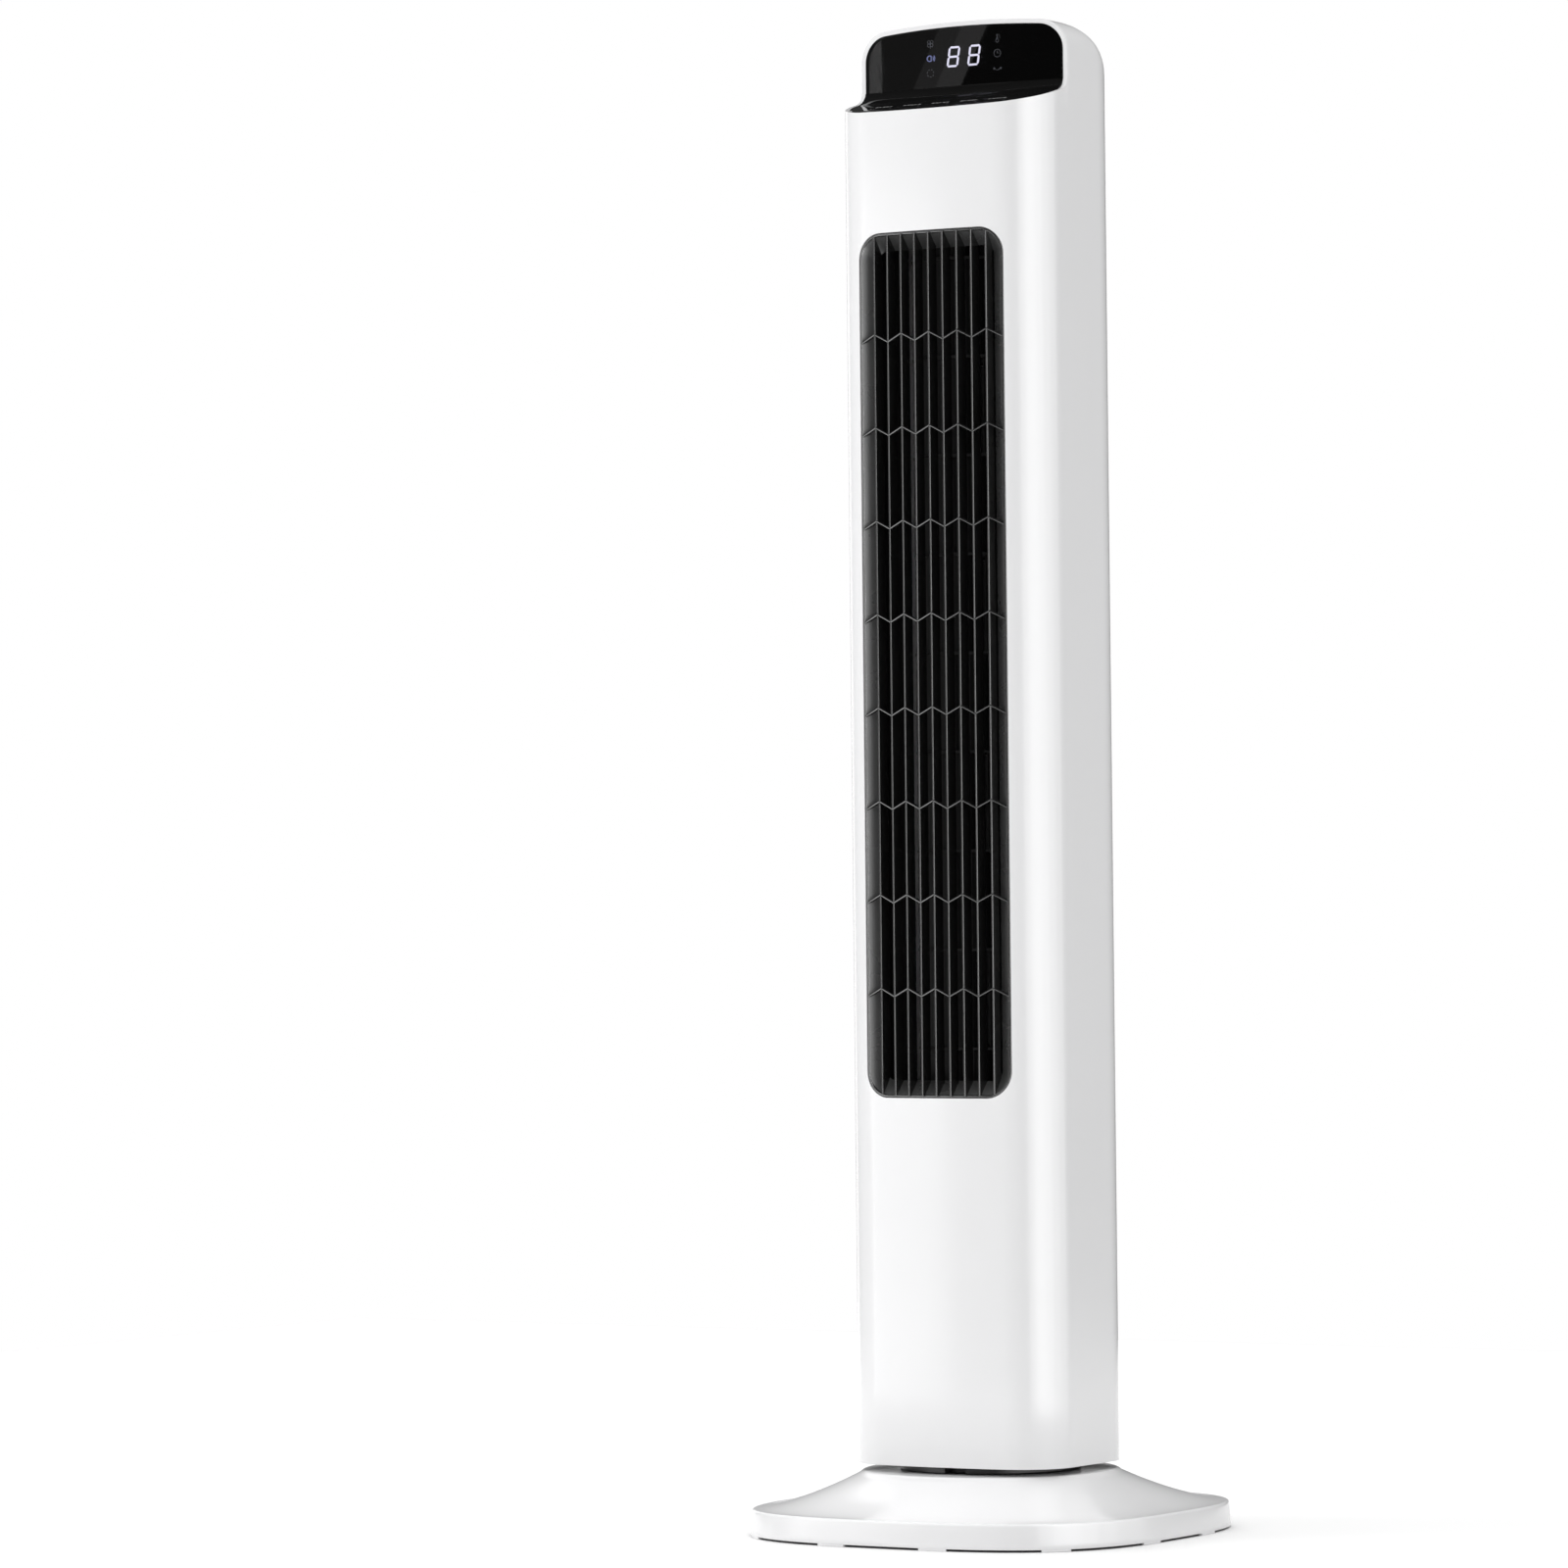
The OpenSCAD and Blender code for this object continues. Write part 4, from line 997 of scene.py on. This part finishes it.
def stroke(shape, x0, z0, x1, z1, width):
    """A thin straight band facing forwards."""
    length = hypot(x1 - x0, z1 - z0)
    nx, nz = -(z1 - z0) / length * width / 2, (x1 - x0) / length * width / 2
    plate(shape, [(x0 + nx, z0 + nz), (x1 + nx, z1 + nz), (x1 - nx, z1 - nz), (x0 - nx, z0 - nz)], 0, 0)


LEGEND_X = 26.0
LEGEND_RISE = 10.0
LINE = 0.45
bright = Shape()
dim = Shape()
# Left column: fan blades, sound of wind, night
top = DIGIT_Z + LEGEND_RISE
for quarter in range(4):
    a = radians(45 + 90 * quarter)
    arc_band(dim, -LEGEND_X + 1.5 * cos(a), top + 1.5 * sin(a), 0.9, LINE, 0, 360, 12)
stroke(dim, -LEGEND_X, top - 3.2, -LEGEND_X, top - 2.4, LINE)
middle = DIGIT_Z
arc_band(bright, -LEGEND_X - 0.6, middle, 1.6, 0.55, 60, 300, 12)
stroke(bright, -LEGEND_X + 0.6, middle - 1.9, -LEGEND_X + 0.6, middle + 1.9, 0.5)
for r in (1.6, 2.7):
    arc_band(bright, -LEGEND_X + 0.5, middle, r, 0.45, -40, 40, 6)
low = DIGIT_Z - LEGEND_RISE
for k in range(7):
    arc_band(dim, -LEGEND_X, low, 2.3, LINE, k * 360 / 7, k * 360 / 7 + 28, 3)
# Right column: thermometer, clock, swing
stroke(dim, LEGEND_X, top - 0.6, LEGEND_X, top + 2.8, 1.0)
arc_band(dim, LEGEND_X, top - 1.6, 0.9, LINE, 0, 360, 14)
for k in range(3):
    stroke(dim, LEGEND_X + 1.3, top + 0.4 + k, LEGEND_X + 2.2, top + 0.4 + k, 0.35)
arc_band(dim, LEGEND_X, middle, 2.4, LINE, 0, 360)
stroke(dim, LEGEND_X, middle, LEGEND_X, middle + 1.7, LINE)
stroke(dim, LEGEND_X, middle, LEGEND_X + 1.2, middle, LINE)
arc_band(dim, LEGEND_X, low + 2.2, 3.2, LINE, 215, 325, 14)
for side in (-1, 1):
    tip_x, tip_z = LEGEND_X + side * 3.0, low + 0.3
    stroke(dim, tip_x, tip_z, tip_x - side * 0.2, tip_z - 1.3, LINE)
    stroke(dim, tip_x, tip_z, tip_x - side * 1.3, tip_z - 0.3, LINE)
bright.build("display_legend_bright", LEGEND_BRIGHT, "column", slot="digit_white")
dim.build("display_legend_dim", LEGEND_DIM, "column", slot="digit_white")

# ------------ base

base_high = node_box("base_cover")[1]
BASE_HALF = base_high.x
SQUIRCLE = 3.05
RIM_Z = 18.3
PLATEAU_Z = base_high.z
PLATEAU_R = 84.0
TAB_H = 1.6
TAB_W = 20.0
TAB_COUNT = 12
COVER_HOLE_R = 50.0
BASE_SIDES = 224


def squircle_r(a):
    return BASE_HALF / (abs(cos(a)) ** SQUIRCLE + abs(sin(a)) ** SQUIRCLE) ** (1 / SQUIRCLE)


def base_ring(inset, blend, z):
    """One ring of the base's skin: the outline where blend is 0, the plateau's edge where it is 1."""
    ring = []
    for i in range(BASE_SIDES):
        a = 2 * pi * i / BASE_SIDES
        r = (squircle_r(a) - inset) * (1 - blend) + PLATEAU_R * blend
        ring.append((r * cos(a), r * sin(a), z))
    return ring


def round_ring(r, z):
    return [(x, y, z) for x, y in circle(r, BASE_SIDES)]


def slope_z(blend):
    return RIM_Z + (PLATEAU_Z - RIM_Z) * blend ** 1.5


RIM_PROFILE = (
    (0.0, TAB_H), (0.2, 5), (0.7, 10), (1.1, RIM_Z - 2.2), (1.25, RIM_Z - 1.4), (1.5, RIM_Z - 0.8),
    (1.85, RIM_Z - 0.35), (2.4, RIM_Z - 0.1), (3.1, RIM_Z - 0.02))
COVER_WALL = 2.4
edge_z = slope_z(0.94)
slope = [(blend, slope_z(blend)) for blend in steps(0, 0.94, 24)]
slope += [(0.94 + 0.06 * t, edge_z + (PLATEAU_Z - edge_z) * (1 - (1 - t) ** 2))
          for t in (0.25, 0.5, 0.75, 1.0)]
rings = [base_ring(inset, 0, z) for inset, z in RIM_PROFILE]
rings += [base_ring(3.8, blend, z) for blend, z in slope]
rings += [round_ring(r, PLATEAU_Z) for r in (76, 66, 56, COVER_HOLE_R)]
rings += [round_ring(r, PLATEAU_Z - COVER_WALL) for r in (COVER_HOLE_R, 56, 66, 76)]
rings += [base_ring(3.8, blend, z - COVER_WALL) for blend, z in reversed(slope)]
rings += [base_ring(inset, 0, z) for inset, z in ((3.5, RIM_Z - 4), (3.0, 8), (2.5, TAB_H))]
cover = Shape()
cover.grid(rings + [rings[0]], closed=True)
base_shell = cover.build("base_shell", WHITE, "base", ["base_cover"], "white_gloss", angle=50)
inlet_low, inlet_high = node_box("cord_inlet")
inlet_z = (inlet_low.z + inlet_high.z) / 2
INLET_HOLE_R = 6.2
hole = Shape()
ring = circle(INLET_HOLE_R, 32, 0, inlet_z)
hole.solid([[(x, y, z) for x, z in ring] for y in (BASE_HALF - 12, BASE_HALF + 5)])
cut(base_shell, hole, "inlet_hole", 40)
round_edges(base_shell, 0.35, 2, 50)
settle(base_shell, 40)

# Foot tabs under the rim, joined to the shell
tabs = Shape()
for i in range(TAB_COUNT):
    middle_a = radians((i + 0.5) * 360 / TAB_COUNT)
    half_a = TAB_W / 2 / squircle_r(middle_a)
    rows = []
    for a in steps(middle_a - half_a, middle_a + half_a, 8):
        r = squircle_r(a)
        profile = [(r - 0.2, 0.35), (r - 0.5, 0.0), (r - 2.1, 0.0), (r - 2.4, 0.35),
                   (r - 2.4, TAB_H + 0.2), (r - 0.2, TAB_H + 0.2)]
        rows.append([(pr * cos(a), pr * sin(a), pz) for pr, pz in profile])
    tabs.solid(rows)
tabs.build("base_foot_tabs", WHITE, "base", slot="white_gloss")

# Swivel collar with a notch at its front
collar_low, collar_high = node_box("swivel_collar")
COLLAR_R = collar_high.x
NOTCH_TURN = radians(-83)
NOTCH_W = 15.0
NOTCH_HALF = asin(NOTCH_W / 2 / COLLAR_R)
NOTCH_DEPTH = 8.0
COLLAR_BORE = 40.0
collar = Shape()
TURN = 2 * pi
# Two points close together at each end of the notch make its sides upright
notch_ends = [NOTCH_TURN % TURN + side * NOTCH_HALF + d for side in (-1, 1) for d in (-0.0008, 0.0008)]
samples = sorted(steps(0, TURN, 180)[:-1] + notch_ends)
zb, zt = collar_low.z, collar_high.z
rows = []
for a in samples:
    off = (a - NOTCH_TURN + pi) % TURN - pi
    r = COLLAR_R - (NOTCH_DEPTH if abs(off) < NOTCH_HALF else 0.0)
    profile = [(COLLAR_BORE, zb), (r - 0.4, zb), (r, zb + 0.4),
               (r, zt - 0.5), (r - 0.5, zt), (COLLAR_BORE, zt)]
    rows.append([(pr * cos(a), pr * sin(a), pz) for pr, pz in profile])
collar.grid(rows + [rows[0]], closed=True)
collar.build("swivel_ring", BLACK_SATIN, "column", ["swivel_collar"], "black_matte")

# ------------ impeller

WHEEL_Y = -2.0
DISC_T = 2
disc_low, disc_high = node_box("impeller_discs")
WHEEL_R = disc_high.x
WHEEL_Z0 = disc_low.z
WHEEL_Z1 = disc_high.z
DISC_PITCH = 66.2
FIRST_DISC_Z = 325.4
BLADES = 36
BLADE_RING = 10.5

wheel = Shape()
disc_heights = [FIRST_DISC_Z + k * DISC_PITCH for k in range(9)]
span_starts = [WHEEL_Z0 + DISC_T] + [z + DISC_T / 2 for z in disc_heights]
span_ends = [z - DISC_T / 2 for z in disc_heights] + [WHEEL_Z1 - DISC_T]
for number, (z0, z1) in enumerate(zip(span_starts, span_ends)):
    for i in range(BLADES):
        turn = 2 * pi * (i + (number % 2) * 0.5) / BLADES
        outline = []
        for side in (1, -1):
            for t in steps(0, 1, 5) if side > 0 else steps(1, 0, 5):
                r = WHEEL_R - 0.6 - t * (BLADE_RING - 1.2)
                bend = 0.06 * sin(pi * t) + 0.12 * t
                half = (0.55 * sin(pi * (0.12 + 0.76 * t))) / r
                a = turn + bend + side * half
                outline.append((r * cos(a), r * sin(a) + WHEEL_Y))
        wheel.prism(outline, z0, z1)
wheel.build("impeller_blade_rows", DARK_PLASTIC, "impeller", ["impeller_blades"], "dark_plastic")


def lathe(shape, profile):
    """Turns a closed (radius, z) profile about the wheel's axis."""
    rows = [[(r * cos(a), WHEEL_Y + r * sin(a), z) for r, z in profile]
            for a in steps(0, 2 * pi, 72)]
    shape.grid(rows, closed=True)


discs = Shape()
RING_R = WHEEL_R - BLADE_RING
for z in disc_heights:
    lathe(discs, [(RING_R, z - 0.8), (WHEEL_R - 0.3, z - 1), (WHEEL_R, z - 0.7), (WHEEL_R, z + 0.7),
                  (WHEEL_R - 0.3, z + 1), (RING_R, z + 0.8)])
HUB_BORE = 4.05
for z0, z1, bore in ((WHEEL_Z0, WHEEL_Z0 + DISC_T, 12.6), (WHEEL_Z1 - DISC_T, WHEEL_Z1, HUB_BORE)):
    lathe(discs, [(bore, z0), (WHEEL_R - 0.3, z0), (WHEEL_R, z0 + 0.3), (WHEEL_R, z1 - 0.3),
                  (WHEEL_R - 0.3, z1), (bore, z1)])
low, high = WHEEL_Z1 - 12, WHEEL_Z1 - DISC_T
lathe(discs, [(HUB_BORE, low), (8.6, low), (9, low + 0.4), (9, high), (HUB_BORE, high)])
discs.build("impeller_disc_rows", DARK_PLASTIC, "impeller", ["impeller_discs"], "dark_plastic")

# ------------ stage

FLOOR_HALF = 1.8
floor_mesh = bpy.data.meshes.new("floor")
floor_mesh.from_pydata([(-FLOOR_HALF, -FLOOR_HALF, 0), (FLOOR_HALF, -FLOOR_HALF, 0),
                        (FLOOR_HALF, FLOOR_HALF, 0), (-FLOOR_HALF, FLOOR_HALF, 0)], [], [(0, 1, 2, 3)])
floor = placed("floor", floor_mesh)
floor_look = Graph("pale_floor")
floor_look.colour(floor_look.noise(0.8, 2), grey(0.65), grey(0.66))
floor_look.set(Roughness=1.0, Specular_IOR_Level=0.0)
floor_mesh.materials.append(floor_look.material)

world = bpy.data.worlds.new("studio")
bpy.context.scene.world = world
world.use_nodes = True
tree = world.node_tree
background = tree.nodes["Background"]
background.inputs["Color"].default_value = (1, 1, 1, 1)


def feed(socket, value):
    """Links a socket to an output, or sets it to a number."""
    if isinstance(value, float):
        socket.default_value = value
    else:
        tree.links.new(value, socket)


def world_mix(ray, value, other):
    """A strength of value for one kind of ray, and of other for the rest."""
    mix = tree.nodes.new("ShaderNodeMix")
    mix.data_type = "FLOAT"
    feed(mix.inputs["Factor"], tree.nodes.new("ShaderNodeLightPath").outputs[ray])
    feed(mix.inputs["A"], other)
    feed(mix.inputs["B"], value)
    return mix.outputs["Result"]


def sky(overhead, below):
    """Strength that rises from nothing at the horizon to its full value overhead, and
    under the horizon to below, which stands for the floor past the modelled one."""
    split = tree.nodes.new("ShaderNodeSeparateXYZ")
    feed(split.inputs["Vector"], tree.nodes.new("ShaderNodeTexCoord").outputs["Generated"])
    total = tree.nodes.new("ShaderNodeMath")
    total.operation = "ADD"
    for index, limits in enumerate(((0.0, 1.0, 0.0, overhead), (-0.05, 0.0, below, 0.0))):
        part = tree.nodes.new("ShaderNodeMapRange")
        feed(part.inputs["Value"], split.outputs["Z"])
        for name, limit in zip(("From Min", "From Max", "To Min", "To Max"), limits):
            feed(part.inputs[name], limit)
        feed(total.inputs[index], part.outputs["Result"])
    return total.outputs["Value"]


SKY_OVERHEAD = 2.1
FLOOR_GLOW = 0.9
SKY_IN_GLOSS = 0.05
# Soft panels that light the fan: name, azimuth, distance, width, brightness
SOFT_PANELS = [
    ("left_soft", -85, 2.6, 0.9, 1.4),
    ("front_left_soft", -56, 2.6, 0.9, 6.6),
    ("right_soft", 50, 2.6, 0.9, 3.5),
    ("back_left_soft", -135, 2.6, 0.9, 4.5),
]
# Panels that only show as reflections: the same, then lower and upper edge and tilt
MIRROR_PANELS = [
    ("left_mirror", -120, 0.9, 0.30, 1.0, -0.5, 1.4, 0),
    ("front_left_mirror", -41, 0.9, 0.48, 1.4, -0.5, 0.98, 0),
    ("window_mirror", -40, 0.9, 0.34, 0.10, 0.780, 1.580, -63),
    ("window_mirror_2", -36.2, 0.9, 0.075, 0.16, 0.662, 1.462, -63),
    ("window_mirror_3", -35.7, 0.9, 0.04, 0.18, 0.646, 1.446, -63),
    ("corner_mirror", 49, 0.6, 0.13, 1.7, -0.5, 1.4, 0),
    ("right_mirror", 61, 0.6, 0.13, 3.3, -0.5, 1.4, 0),
    ("right_mirror_2", 73, 0.6, 0.13, 3.3, -0.5, 1.4, 0),
    ("side_mirror", 86, 0.6, 0.13, 3.0, -0.5, 1.4, 0),
    ("side_mirror_2", 101, 0.6, 0.16, 2.1, -0.5, 1.4, 0),
    ("rear_mirror", 118, 0.6, 0.16, 1.2, -0.5, 1.4, 0),
]
diffuse_part = world_mix("Is Glossy Ray", SKY_IN_GLOSS, sky(SKY_OVERHEAD, FLOOR_GLOW))
tree.links.new(world_mix("Is Camera Ray", 1.0, diffuse_part), background.inputs["Strength"])


def panel_light(name, azimuth, distance, width, brightness, low, high, tilt=0.0):
    """A panel of light at an azimuth about the fan, turned towards its middle."""
    light = bpy.data.lights.new(name, "AREA")
    light.shape = "RECTANGLE"
    light.size = width
    light.size_y = high - low
    light.energy = brightness * width * (high - low) * pi
    ob = placed(name, light)
    a = radians(azimuth)
    ob.location = (distance * sin(a), -distance * cos(a), (low + high) / 2)
    facing = Vector((-sin(a), cos(a), 0)).to_track_quat("-Z", "Y")
    ob.rotation_mode = "QUATERNION"
    ob.rotation_quaternion = facing @ Matrix.Rotation(radians(tilt), 3, "Z").to_quaternion()
    ob.visible_camera = False
    return ob


SOFT_LOW, SOFT_HIGH = -0.4, 2.0
for soft_panel in SOFT_PANELS:
    panel_light(*soft_panel, SOFT_LOW, SOFT_HIGH).visible_glossy = False
for mirror_panel in MIRROR_PANELS:
    panel_light(*mirror_panel).visible_diffuse = False

# ------------ camera

AZIMUTH = radians(30.13)
DISTANCE = 4.7205
CAMERA_Z = 0.4259
PITCH = radians(0.952)
YAW = radians(1.635)
ROLL = radians(-0.579)
SENSOR = 36.0
LENS = 160.614

camera_data = bpy.data.cameras.new("camera")
camera_data.sensor_width = SENSOR
camera_data.lens = LENS
camera_data.clip_start = 0.05
camera_data.clip_end = 100
camera = placed("camera", camera_data)
place = Matrix.Translation((DISTANCE * sin(AZIMUTH), -DISTANCE * cos(AZIMUTH), CAMERA_Z))
place @= Matrix.Rotation(AZIMUTH + YAW, 4, "Z")
place @= Matrix.Rotation(pi / 2 + PITCH, 4, "X")
place @= Matrix.Rotation(ROLL, 4, "Z")
camera.matrix_world = place
bpy.context.scene.camera = camera
bpy.context.scene.view_settings.view_transform = "Standard"
